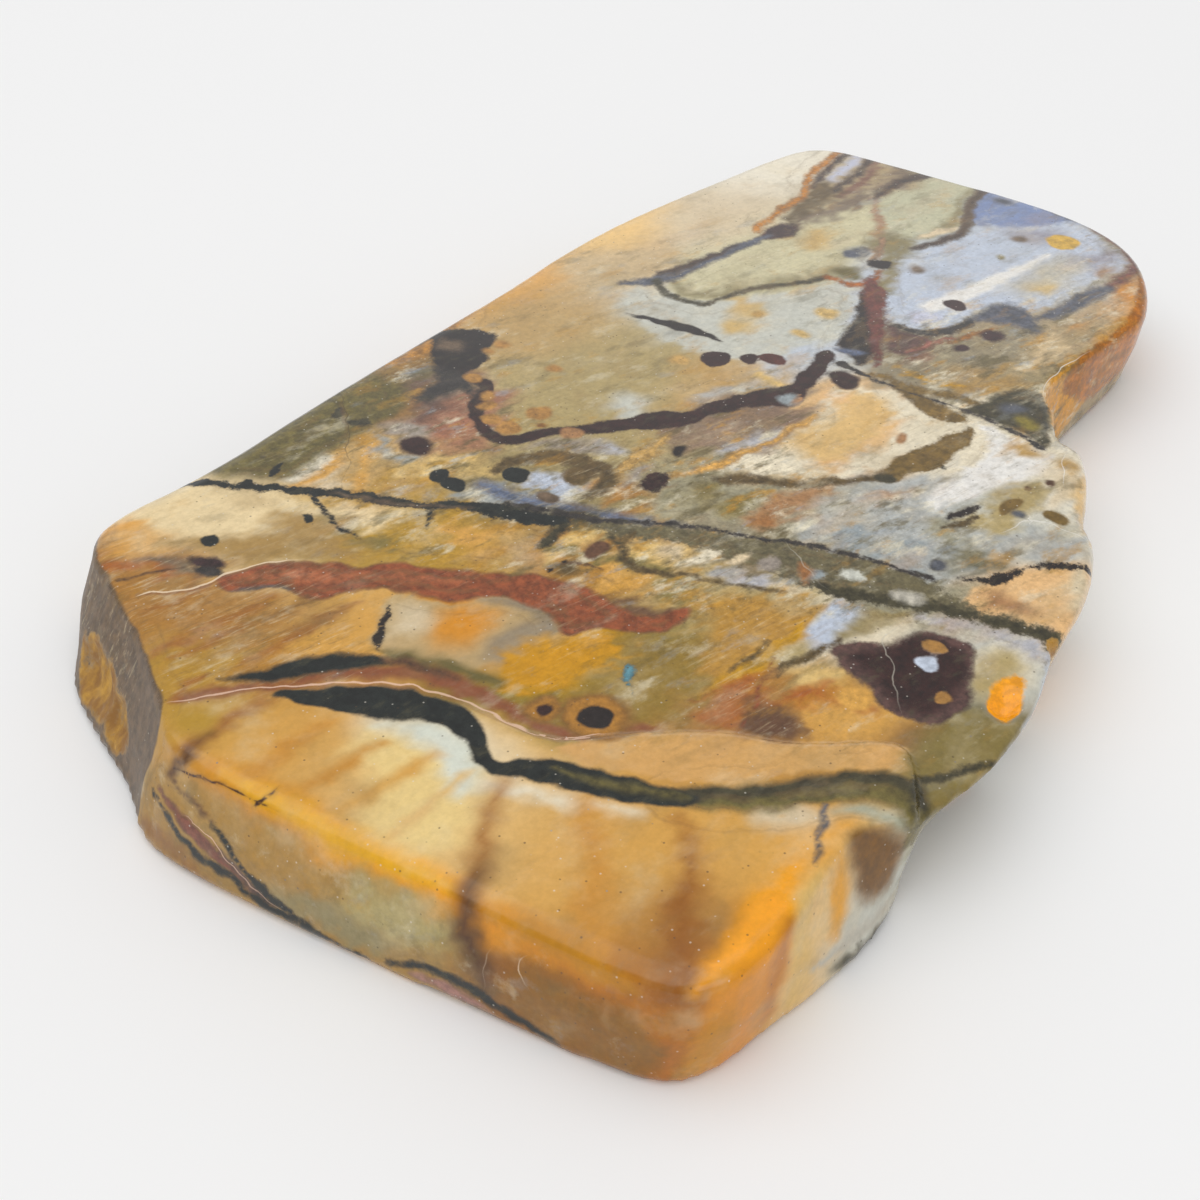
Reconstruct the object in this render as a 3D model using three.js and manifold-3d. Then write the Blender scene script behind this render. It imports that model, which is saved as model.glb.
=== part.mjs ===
import * as THREE from 'three';
import { mergeVertices } from 'three/addons/utils/BufferGeometryUtils.js';
import Module from 'manifold-3d';

// Jasper slab: one sawn and polished piece of banded orbicular jasper, lying flat.
// Millimetres, +Z up, +Y along the slab's length, +X to its right.

// Main sizes
const topHeight = 8.0;
const baseRound = 0.5;
const outlineSteps = 168;
const wallBulge = 0.25;

// Outline stations, counter-clockwise from the front left corner.
// Each is the rim's x and y, the base's x and y, and the radius of the rim's rounding.
// The saw cut ran a little oblique to the rough stone, so the base lies forward and left of the top.
const stations = [
  // front edge
  [-15.6, -46.4, -17.5, -48.7, 0.5],
  [-13.6, -48.1, -15.6, -50.1, 0.9],
  [-10.4, -49.0, -12.4, -51.0, 1.2],
  [-4.0, -49.3, -5.0, -51.1, 1.3],
  [4.0, -49.2, 3.0, -50.8, 1.3],
  [12.0, -49.1, 11.0, -50.3, 1.3],
  [19.0, -48.9, 18.0, -49.9, 1.2],
  [22.4, -48.2, 22.0, -48.95, 1.1],
  // right flank of the front lobe
  [24.3, -46.0, 23.8, -46.9, 1.0],
  [25.1, -43.0, 25.0, -43.4, 0.8],
  [25.3, -39.8, 26.3, -39.8, 0.6],
  [25.3, -36.6, 27.3, -36.4, 0.5],
  [25.4, -33.9, 27.8, -33.4, 0.5],
  [26.4, -31.9, 27.7, -31.0, 0.6],
  [27.9, -30.7, 27.1, -29.0, 0.6],
  // right rim of the back lobe, undercut
  [28.4, -29.3, 26.4, -27.0, 0.8],
  [29.1, -27.0, 26.0, -24.8, 1.1],
  [29.9, -24.2, 26.7, -22.0, 1.2],
  [30.3, -21.2, 27.6, -19.2, 1.3],
  [30.5, -18.0, 28.3, -16.6, 1.3],
  [30.3, -15.2, 28.5, -14.2, 1.1],
  [29.9, -12.6, 28.4, -12.0, 0.9],
  [29.9, -9.4, 28.2, -9.0, 0.9],
  [29.9, -6.2, 28.0, -6.2, 1.3],
  [29.4, -2.4, 27.4, -2.6, 1.5],
  [28.5, 0.6, 26.6, 0.2, 1.5],
  [27.1, 3.0, 25.4, 2.4, 1.9],
  [26.2, 6.4, 24.6, 5.6, 1.9],
  [25.2, 9.0, 23.6, 8.2, 1.4],
  [24.0, 10.6, 22.6, 9.8, 0.8],
  // notch on the right
  [22.4, 11.1, 21.2, 10.6, 0.5],
  [21.4, 12.5, 20.4, 12.0, 0.4],
  [20.7, 14.4, 19.9, 14.0, 0.4],
  [19.7, 15.9, 19.5, 15.9, 0.4],
  [19.0, 17.6, 19.3, 17.8, 0.4],
  [19.3, 20.8, 19.5, 20.8, 0.5],
  [20.2, 23.9, 19.8, 23.9, 0.7],
  [20.9, 27.1, 20.2, 27.0, 0.9],
  [21.6, 30.2, 20.6, 30.2, 1.1],
  // far end
  [22.1, 32.8, 20.9, 32.8, 1.2],
  [21.8, 35.6, 20.8, 35.4, 1.2],
  [20.9, 38.6, 19.8, 38.0, 1.2],
  [19.1, 42.2, 17.8, 41.4, 1.2],
  [16.4, 45.1, 15.0, 44.0, 1.2],
  [12.4, 47.3, 11.0, 46.2, 1.2],
  [6.0, 48.8, 4.8, 47.5, 1.2],
  [-3.0, 49.5, -4.2, 48.0, 1.2],
  [-10.0, 50.0, -11.0, 48.5, 1.2],
  [-14.4, 49.9, -15.2, 48.4, 1.2],
  [-17.0, 48.4, -18.0, 46.8, 1.2],
  // left side
  [-18.9, 44.6, -20.0, 43.0, 1.2],
  [-21.0, 38.2, -22.1, 36.8, 1.2],
  [-23.2, 31.2, -24.3, 29.8, 1.2],
  [-25.0, 24.4, -26.2, 23.0, 1.2],
  [-26.2, 17.2, -27.4, 15.8, 1.2],
  [-26.8, 9.6, -28.1, 8.2, 1.2],
  [-27.8, 1.4, -29.1, 0.1, 1.2],
  [-28.8, -6.6, -30.2, -7.8, 1.2],
  [-29.8, -15.6, -31.2, -16.6, 1.2],
  [-30.5, -22.8, -32.0, -23.8, 1.3],
  [-31.6, -28.2, -33.2, -29.8, 1.5],
  [-32.6, -31.6, -33.9, -33.6, 1.7],
  [-32.5, -34.6, -33.0, -36.4, 1.6],
  // broken facet on the front left
  [-30.5, -37.0, -31.2, -39.7, 0.8],
  [-27.4, -38.8, -28.9, -42.5, 0.4],
  [-24.2, -40.5, -26.2, -44.2, 0.35],
  [-20.9, -42.4, -23.0, -45.8, 0.35],
  [-17.9, -44.6, -19.8, -47.2, 0.35],
];

// Step along the healed crack: beyond it the far lobe lies lower and dips to the right.
const crackEdge = [
  [-4.0, -36.6],
  [0.0, -36.05],
  [4.5, -36.2],
  [7.2, -35.6],
  [9.0, -34.2],
  [12.0, -32.0],
  [15.5, -29.95],
  [18.6, -29.0],
  [21.4, -27.4],
  [23.8, -25.75],
  [25.2, -25.6],
  [26.2, -26.8],
  [27.2, -28.7],
  [28.4, -31.2],
];
const crackSteps = 44;
const stepDepth = 0.65;
const dipPerX = 0.034;
const dipPerY = -0.024;
const deepest = [24.5, -25.4];

// Shell-shaped scars and pits: centre, half sizes, turn about z and tilt about the long axis in degrees
const scars = [
  // two chips low on the broken facet
  { at: [-26.1, -43.4, 3.5], half: [4.2, 1.6, 2.5], turn: -29, tilt: -26 },
  { at: [-21.6, -45.8, 3.1], half: [2.6, 1.2, 2.0], turn: -40, tilt: -26 },
  // bright pit on the right rim
  { at: [28.9, -18.4, 8.0], half: [1.3, 1.8, 1.3], turn: 8, tilt: 0 },
  // nick where the dark band meets the right rim
  { at: [30.4, -11.6, 7.6], half: [1.1, 0.8, 1.6], turn: -20, tilt: 0 },
];

// Colour and finish of the polished stone
const stoneColour = '#b99c63';
const stoneRoughness = 0.22;

// Closed curve through the stations; its z carries the radius of the rim's rounding
function closedCurve(columnX, columnY) {
  const points = stations.map((s) => new THREE.Vector3(s[columnX], s[columnY], s[4]));
  return new THREE.CatmullRomCurve3(points, true, 'centripetal');
}

// Points of a curve, each at the same share of the way between two stations on every curve
function samples(curve) {
  const points = [];
  for (let i = 0; i < outlineSteps; i += 1) {
    points.push(curve.getPoint(i / outlineSteps));
  }
  return points;
}

function inwardNormals(points) {
  return points.map((p, i) => {
    const before = points[(i + points.length - 1) % points.length];
    const after = points[(i + 1) % points.length];
    const along = new THREE.Vector2(after.x - before.x, after.y - before.y).normalize();
    return new THREE.Vector2(-along.y, along.x);
  });
}

// One closed ring of wall points for each level, from the base's flat face up to the top's
function slabBody() {
  const rim = samples(closedCurve(0, 1));
  const base = samples(closedCurve(2, 3));
  const rimIn = inwardNormals(rim);
  const baseIn = inwardNormals(base);
  const rings = [];
  for (const turn of [0, 0.5, 1]) {
    const angle = (turn * Math.PI) / 2;
    const inset = baseRound * (1 - Math.sin(angle));
    const height = baseRound * (1 - Math.cos(angle));
    rings.push(base.map((p, i) => {
      const lean = height / topHeight;
      return new THREE.Vector3(
        THREE.MathUtils.lerp(p.x, rim[i].x, lean) + baseIn[i].x * inset,
        THREE.MathUtils.lerp(p.y, rim[i].y, lean) + baseIn[i].y * inset,
        height,
      );
    }));
  }
  rings.push(base.map((p, i) => {
    const share = 0.5;
    return new THREE.Vector3(
      THREE.MathUtils.lerp(p.x, rim[i].x, share) - baseIn[i].x * wallBulge,
      THREE.MathUtils.lerp(p.y, rim[i].y, share) - baseIn[i].y * wallBulge,
      topHeight * share,
    );
  }));
  for (const turn of [0, 0.34, 0.67, 1]) {
    const angle = (turn * Math.PI) / 2;
    rings.push(rim.map((p, i) => {
      const radius = p.z;
      const inset = radius * (1 - Math.cos(angle));
      const height = topHeight - radius * (1 - Math.sin(angle));
      return new THREE.Vector3(
        p.x + rimIn[i].x * inset,
        p.y + rimIn[i].y * inset,
        height,
      );
    }));
  }
  return ringsToGeometry(rings);
}

function ringsToGeometry(rings) {
  const count = outlineSteps;
  const positions = rings.flat().flatMap((p) => [p.x, p.y, p.z]);
  const triangles = [];
  for (let level = 0; level < rings.length - 1; level += 1) {
    for (let i = 0; i < count; i += 1) {
      const next = (i + 1) % count;
      const a = level * count + i;
      const b = level * count + next;
      const c = a + count;
      const d = b + count;
      triangles.push(a, b, d, a, d, c);
    }
  }
  const first = rings[0].map((p) => new THREE.Vector2(p.x, p.y));
  const last = rings[rings.length - 1].map((p) => new THREE.Vector2(p.x, p.y));
  const lastStart = (rings.length - 1) * count;
  for (const [a, b, c] of THREE.ShapeUtils.triangulateShape(first, [])) {
    triangles.push(a, c, b);
  }
  for (const [a, b, c] of THREE.ShapeUtils.triangulateShape(last, [])) {
    triangles.push(lastStart + a, lastStart + b, lastStart + c);
  }
  const geometry = new THREE.BufferGeometry();
  geometry.setAttribute('position', new THREE.Float32BufferAttribute(positions, 3));
  geometry.setIndex(triangles);
  return geometry;
}

// Wedge over the far lobe whose underside is the dipping top, with one side along the crack
function stepCutter() {
  const reachFar = 60;
  const crack = new THREE.SplineCurve(crackEdge.map(([x, y]) => new THREE.Vector2(x, y)));
  const outline = crack.getSpacedPoints(crackSteps);
  outline.push(new THREE.Vector2(reachFar, outline[crackSteps].y));
  outline.push(new THREE.Vector2(reachFar, reachFar));
  outline.push(new THREE.Vector2(outline[0].x, reachFar));
  const shape = new THREE.Shape(outline);
  const wedge = new THREE.ExtrudeGeometry(shape, { depth: 1, bevelEnabled: false });
  const position = wedge.getAttribute('position');
  const clearance = 5;
  for (let i = 0; i < position.count; i += 1) {
    const x = position.getX(i);
    const y = position.getY(i);
    const dip = stepDepth + dipPerX * (x - deepest[0]) + dipPerY * (y - deepest[1]);
    const floor = topHeight - dip;
    position.setZ(i, position.getZ(i) > 0.5 ? topHeight + clearance : floor);
  }
  return wedge;
}

function scarCutter({ at, half, turn, tilt }) {
  const blob = new THREE.SphereGeometry(1, 22, 14);
  blob.scale(...half);
  blob.rotateX(THREE.MathUtils.degToRad(tilt));
  blob.rotateZ(THREE.MathUtils.degToRad(turn));
  blob.translate(...at);
  return blob;
}

const wasm = await Module();
wasm.setup();

function toSolid(geometry) {
  const bare = geometry.clone();
  bare.deleteAttribute('normal');
  bare.deleteAttribute('uv');
  const welded = mergeVertices(bare, 1e-5);
  const mesh = new wasm.Mesh({
    numProp: 3,
    vertProperties: new Float32Array(welded.getAttribute('position').array),
    triVerts: new Uint32Array(welded.getIndex().array),
  });
  return new wasm.Manifold(mesh);
}

function toGeometry(solid) {
  const mesh = solid.getMesh();
  const geometry = new THREE.BufferGeometry();
  geometry.setAttribute('position', new THREE.Float32BufferAttribute(mesh.vertProperties, 3));
  geometry.setIndex([...mesh.triVerts]);
  geometry.computeVertexNormals();
  return geometry;
}

let solid = toSolid(slabBody());
solid = solid.subtract(toSolid(stepCutter()));
for (const scar of scars) {
  solid = solid.subtract(toSolid(scarCutter(scar)));
}

const slabGeometry = toGeometry(solid);
slabGeometry.computeBoundingBox();
const middle = slabGeometry.boundingBox.getCenter(new THREE.Vector3());
slabGeometry.translate(-middle.x, -middle.y, 0);

const stone = new THREE.MeshStandardMaterial({
  color: stoneColour,
  roughness: stoneRoughness,
  metalness: 0,
});
const slab = new THREE.Mesh(slabGeometry, stone);
slab.name = 'slab';

const part = new THREE.Group();
part.name = 'jasper_slab';
part.add(slab);

export default part;
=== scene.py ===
import math
import bpy
import bmesh
import numpy as np
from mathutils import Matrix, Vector
from mathutils.bvhtree import BVHTree


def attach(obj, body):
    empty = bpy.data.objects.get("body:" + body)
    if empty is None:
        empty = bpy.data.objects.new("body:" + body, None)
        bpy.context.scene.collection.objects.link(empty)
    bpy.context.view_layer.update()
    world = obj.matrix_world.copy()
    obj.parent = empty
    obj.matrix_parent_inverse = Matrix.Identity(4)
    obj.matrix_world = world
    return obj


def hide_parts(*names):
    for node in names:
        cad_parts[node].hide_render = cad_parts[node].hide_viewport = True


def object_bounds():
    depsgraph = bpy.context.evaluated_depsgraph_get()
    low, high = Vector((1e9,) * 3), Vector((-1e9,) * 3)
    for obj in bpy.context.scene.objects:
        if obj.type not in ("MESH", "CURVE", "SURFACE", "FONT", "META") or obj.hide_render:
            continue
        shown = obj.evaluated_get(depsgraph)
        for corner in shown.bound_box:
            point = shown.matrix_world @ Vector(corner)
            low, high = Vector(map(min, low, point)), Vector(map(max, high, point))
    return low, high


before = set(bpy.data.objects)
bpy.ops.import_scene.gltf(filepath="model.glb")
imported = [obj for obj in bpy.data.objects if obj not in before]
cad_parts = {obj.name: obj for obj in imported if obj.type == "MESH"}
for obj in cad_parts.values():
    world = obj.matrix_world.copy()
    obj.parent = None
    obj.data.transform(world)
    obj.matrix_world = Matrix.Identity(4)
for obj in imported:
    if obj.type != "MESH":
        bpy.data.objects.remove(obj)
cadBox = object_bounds()
mm = 0.001

# The markings below are in millimetres on the slab's top, from the point where they were first laid out.
# layoutShift moves them to the slab's own centre.
layoutShift = (1.643, 0.486)
topHeight = 8.0

# the markings were drawn as if the top were level; drawnFrom is the eye's place for that drawing
drawnFrom = (46.0, -96.0, 78.0)

# the far lobe's top dips beyond the healed crack
dip = dict(depth=0.65, perX=0.034, perY=-0.024, atX=24.5, atY=-25.4)

tones = dict(
    creamWhite=(0.94, 0.91, 0.84), cream=(0.86, 0.79, 0.67), creamWarm=(0.94, 0.86, 0.70),
    apricot=(0.96, 0.82, 0.58), apricotDeep=(0.92, 0.70, 0.38), beige=(0.82, 0.73, 0.58),
    khakiCream=(0.83, 0.80, 0.67), sage=(0.75, 0.73, 0.61), sageYellow=(0.80, 0.72, 0.50),
    blueGrey=(0.55, 0.61, 0.74), mist=(0.78, 0.81, 0.86), mistBlue=(0.73, 0.74, 0.73),
    cloud=(0.80, 0.80, 0.76), paleGrey=(0.76, 0.74, 0.69), tan=(0.70, 0.62, 0.48),
    tanGrey=(0.60, 0.56, 0.47), taupe=(0.46, 0.39, 0.32), wheat=(0.78, 0.66, 0.46),
    khaki=(0.72, 0.65, 0.47), khakiDull=(0.62, 0.56, 0.40), white=(0.93, 0.92, 0.90),
    ivory=(0.93, 0.89, 0.80), peach=(0.92, 0.77, 0.58), flame=(0.93, 0.66, 0.42),
    greenGrey=(0.64, 0.62, 0.53), slate=(0.38, 0.39, 0.42), slateBlue=(0.42, 0.46, 0.55),
    charcoal=(0.25, 0.23, 0.22), olive=(0.45, 0.41, 0.24), oliveDark=(0.29, 0.27, 0.19),
    oliveBrown=(0.40, 0.33, 0.20), moss=(0.55, 0.50, 0.24), mustard=(0.74, 0.60, 0.28),
    gold=(0.80, 0.62, 0.22), goldDeep=(0.84, 0.62, 0.14), ochre=(0.70, 0.52, 0.28),
    ochreDark=(0.56, 0.42, 0.24), honey=(0.86, 0.68, 0.40), honeyPale=(0.90, 0.77, 0.55),
    # the last tone on the next line is amber with painted glow, as of light shining through thin edges
    amber=(0.85, 0.58, 0.20), amberDeep=(0.72, 0.46, 0.13), amberPaintedGlow=(0.98, 0.68, 0.16),
    brick=(0.60, 0.36, 0.25), brickPale=(0.67, 0.43, 0.31),
    maroon=(0.38, 0.22, 0.19), maroonDark=(0.24, 0.14, 0.13), pinkBrown=(0.66, 0.47, 0.38),
    plum=(0.40, 0.30, 0.28), brown=(0.40, 0.28, 0.19), brownWarm=(0.52, 0.36, 0.19),
    blackBrown=(0.17, 0.13, 0.12), sagePale=(0.78, 0.77, 0.66), honeyDeep=(0.87, 0.62, 0.29),
    crackPink=(0.93, 0.80, 0.72), crackCream=(0.96, 0.88, 0.78), wallGreen=(0.62, 0.57, 0.42),
    wallUmber=(0.60, 0.43, 0.19), amberGold=(0.78, 0.56, 0.20), cornerBrown=(0.42, 0.28, 0.15),
    wallTan=(0.62, 0.46, 0.27), mauveBrown=(0.55, 0.36, 0.30), greyBrown=(0.40, 0.32, 0.29),
    pinkGrey=(0.67, 0.52, 0.48), tobacco=(0.50, 0.36, 0.16), amberWarm=(0.90, 0.67, 0.28),
    flankCreamTone=(0.87, 0.74, 0.49), flankBrown=(0.76, 0.51, 0.20), arcGrey=(0.70, 0.70, 0.62),
    bandGrey=(0.45, 0.42, 0.32), amberLine=(0.75, 0.52, 0.24), lilacWhite=(0.79, 0.80, 0.86),
    brownGrey=(0.50, 0.43, 0.36), umberDark=(0.31, 0.24, 0.20), redBrown=(0.52, 0.37, 0.30),
    plumDark=(0.28, 0.19, 0.19), slateDull=(0.38, 0.39, 0.43), pinkBeige=(0.68, 0.55, 0.44),
    olivePale=(0.58, 0.54, 0.40), bluePatch=(0.53, 0.59, 0.73), lilacShade=(0.64, 0.63, 0.67),
    sandGlow=(0.83, 0.72, 0.50), maroonRed=(0.46, 0.28, 0.25), pinkLine=(0.64, 0.43, 0.38),
    goldFacet=(0.86, 0.63, 0.24), glowWhite=(0.87, 0.88, 0.83), lobeCream=(0.93, 0.83, 0.60),
    # the first tone on the next line is the front rim's yellow with painted glow on it
    lobeYellowPaintedGlow=(0.92, 0.72, 0.30), ledgeTan=(0.86, 0.69, 0.46), streakPale=(0.82, 0.61, 0.32),
    streakBrown=(0.66, 0.46, 0.25), amberBrown=(0.60, 0.38, 0.14), burnt=(0.32, 0.19, 0.10),
    haloBrown=(0.58, 0.37, 0.26), pocketBeige=(0.78, 0.68, 0.51), pocketTaupe=(0.62, 0.56, 0.47),
    khakiBrown=(0.70, 0.58, 0.37), wallKhaki=(0.70, 0.56, 0.32), wallPale=(0.72, 0.66, 0.47),
    mossBrown=(0.50, 0.41, 0.23), mauve=(0.56, 0.47, 0.40), paleLilac=(0.74, 0.74, 0.76),
    blush=(0.76, 0.64, 0.54), khakiOlive=(0.55, 0.49, 0.29), clay=(0.70, 0.54, 0.39),
    clayDeep=(0.67, 0.48, 0.31), slateMist=(0.62, 0.65, 0.66), greenGreyDark=(0.47, 0.46, 0.39),
    ochrePale=(0.76, 0.63, 0.41), purpleBrown=(0.45, 0.35, 0.31), ochreDull=(0.60, 0.48, 0.30),
    creamYellow=(0.89, 0.77, 0.53), lilacGrey=(0.64, 0.60, 0.56), goldDull=(0.74, 0.60, 0.32),
    brownDull=(0.42, 0.35, 0.25), umber=(0.43, 0.31, 0.23), honeyDull=(0.75, 0.59, 0.32),
    ochreOlive=(0.61, 0.51, 0.26), rustPale=(0.69, 0.43, 0.23), greenBlack=(0.14, 0.16, 0.15),
    teal=(0.40, 0.56, 0.60), orbTan=(0.70, 0.54, 0.33), orbYellow=(0.83, 0.69, 0.36),
)


def linear(tone):
    values = tones[tone] if isinstance(tone, str) else tone
    return np.array([v / 12.92 if v <= 0.04045 else ((v + 0.055) / 1.055) ** 2.4 for v in values])


# broad soft fields under everything else: tone, x, y, reach across, reach along, turn in degrees
ground = dict(
    # far end
    farCream=("creamWhite", -20, 42, 6, 8, -10), farBeige=("cream", -18, 32, 5, 5, 0),
    leftGlow=("apricot", -25, 24, 3, 6, -12), farKhaki=("khakiCream", -9, 25, 4, 7, 20),
    farYellow=("sageYellow", -8, 28, 2, 2, 0), farTan=("tan", -9, 44, 3, 6, 0),
    farSage=("sage", -2, 40, 4, 6, 0), farBlue=("blueGrey", 6, 45, 4, 3, 0),
    farMist=("mist", 6, 34, 5, 7, -15), farPale=("paleGrey", 14, 36, 4, 7, -20),
    farGrey=("tanGrey", 17, 42, 3, 3, 0), rightAmber=("amber", 21.5, 33, 2, 7, 0),
    tanField=("tan", 17, 25, 5, 6, 0), greyField=("tanGrey", 13, 17, 5, 4, 0),
    rightDull=("khakiDull", 19, 18, 3, 3, 0),
    # middle
    cloudBand=("cloud", -9, 13, 7, 3, 0), mistBand=("mist", -2, 14, 3, 4, 0),
    beigeBand=("beige", -21, 16, 4, 4, 0), leftWheat=("wheat", -21, 6, 5, 5, 0),
    apricotRim=("apricotDeep", -27, 10, 2.5, 6, -8), khakiHeart=("khaki", -12, 2, 6, 6, 0),
    wheatHeart=("wheat", -4, 5, 3, 4, 0), pinkHaze=("pinkBrown", -19, -10, 3, 3, 0),
    leftShade=("ochreDark", -26, -9, 4, 4, 0), leftOlive=("oliveBrown", -29, -18, 3, 6, 0),
    midKhaki=("khaki", -7, -6, 5, 4, 0), midDull=("khakiDull", -8, -15.5, 6, 2.5, 5),
    leftWheatLow=("wheat", -20, -17, 4, 4, 0), midGreen=("greenGrey", 4, -8.5, 6, 3.5, 10),
    centreDull=("khakiDull", 1, -1, 3, 5, -20), blushMid=("beige", 6.5, -8, 2, 2, 0),
    peachHeart=("peach", 7, 2, 4, 5, -30), ivoryRight=("ivory", 17, 7, 4, 4, 0),
    mistRight=("mistBlue", 17, -5, 5, 4, 0), cloudRight=("cloud", 24, -1, 4, 4, 0),
    creamRight=("creamWhite", 26, 5, 3, 4, 0), peachRim=("peach", 28, -8, 3, 4, 0),
    greenRight=("greenGrey", 21, -11, 4, 2, 8), tanStrip=("tanGrey", 11, -13, 6, 2, 8),
    # below the dark band
    leftCreamField=("creamWarm", -26, -29, 6, 4, -10), mustardField=("mustard", -13, -23.5, 7, 3.5, 15),
    ochreTop=("ochre", -3, -20, 4, 3, 0), wheatTop=("wheat", 5, -18, 4, 2, 0),
    goldTop=("honeyDull", 2, -21, 3, 1.5, 0), khakiTop=("khaki", 10, -19, 4, 3, 0),
    ivoryTop=("ivory", 16.5, -17.5, 2, 3, 0), goldMid=("goldDeep", 3, -29, 3, 4, 0),
    mossMid=("moss", 8, -28, 3, 4, 0), ochreMid=("ochre", 14, -27, 4, 5, 0),
    honeyMid=("honey", 20.5, -26, 3, 2, 30), cloudEdge=("cloud", 28, -15, 3, 3, 0),
    oliveEdge=("olive", 28.5, -23.5, 2.2, 4, 0), ochreEdge=("ochreDark", 26, -25.4, 2, 1.6, 0),
    mossCrack=("moss", 2, -34, 4, 1.5, 0), honeyPocket=("honey", -10, -33, 3, 3, 0),
    amberPocket=("amber", -4, -31, 3, 2.5, 0), creamPocketSide=("cream", -1, -29, 2.5, 2.5, 0),
    ochreLeft=("ochre", -20, -38, 8, 4, -20), apricotCorner=("apricotDeep", -29, -33.5, 2.5, 1.5, 0),
    mustardLow=("mustard", -17, -42, 3, 2.5, 0),
    # front lobe, and its walls unrolled past the rim
    mustardCorner=("mustard", -13, -45, 2.5, 2.5, 0), honeyLobe=("honey", -8, -45, 5, 3.5, 0),
    ivoryLobe=("ivory", 1, -40.4, 4, 1.6, 0), paleLobe=("honeyPale", 4, -43.5, 6, 3.5, 0),
    honeyRight=("honey", 14, -42.5, 5, 4, 0), honeyFlank=("honey", 20, -37, 4, 3, 0),
    # the second field on the next line is amber with painted glow beside the right ridge line
    ochreRight=("ochre", 20, -45, 3, 3, 0), ridgePaintedGlow=("amberPaintedGlow", 24.8, -41, 1.5, 5, 8),
    paleFlank=("honeyPale", 27.8, -38, 2.5, 4, 10), amberFlankLow=("amber", 26.4, -45, 2.4, 4, 10),
    cloudFlank=("cloud", 30.5, -35, 2, 3, 0), amberEdge=("amber", -5, -49.4, 5, 1.3, -6),
    # the first field on the next line is the amber front edge with painted glow along it
    frontEdgePaintedGlow=("amberPaintedGlow", 5, -49.8, 7, 1.2, 0), amberEdgeRight=("amber", 14, -50, 4, 1.2, 0),
    cornerDeep=("amberDeep", 21, -50.5, 4, 3, 0), wallLeft=("wallKhaki", -9, -53.4, 5, 3, -8),
    wallMid=("wallKhaki", 3, -53.8, 6, 3, 0), wallRight=("amberBrown", 15, -54.2, 4, 2.5, 0),
)


# closed patches, veins and orbs, each in the layer that it lies in
# soft is how far an edge fades, rag how ragged it is, both in millimetres
def patch(tone, soft, points, rag=0.5):
    return dict(kind="patch", tone=tone, soft=soft, rag=rag, points=points)


def vein(tone, soft, points, rag=0.4):
    return dict(kind="vein", tone=tone, soft=soft, rag=rag, points=points)  # x, y, full width


def orb(tone, soft, x, y, rx, ry=None, turn=0.0, rag=0.15):
    return dict(kind="orb", tone=tone, soft=soft, rag=rag, at=(x, y), half=(rx, ry or rx), turn=turn)


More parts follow.
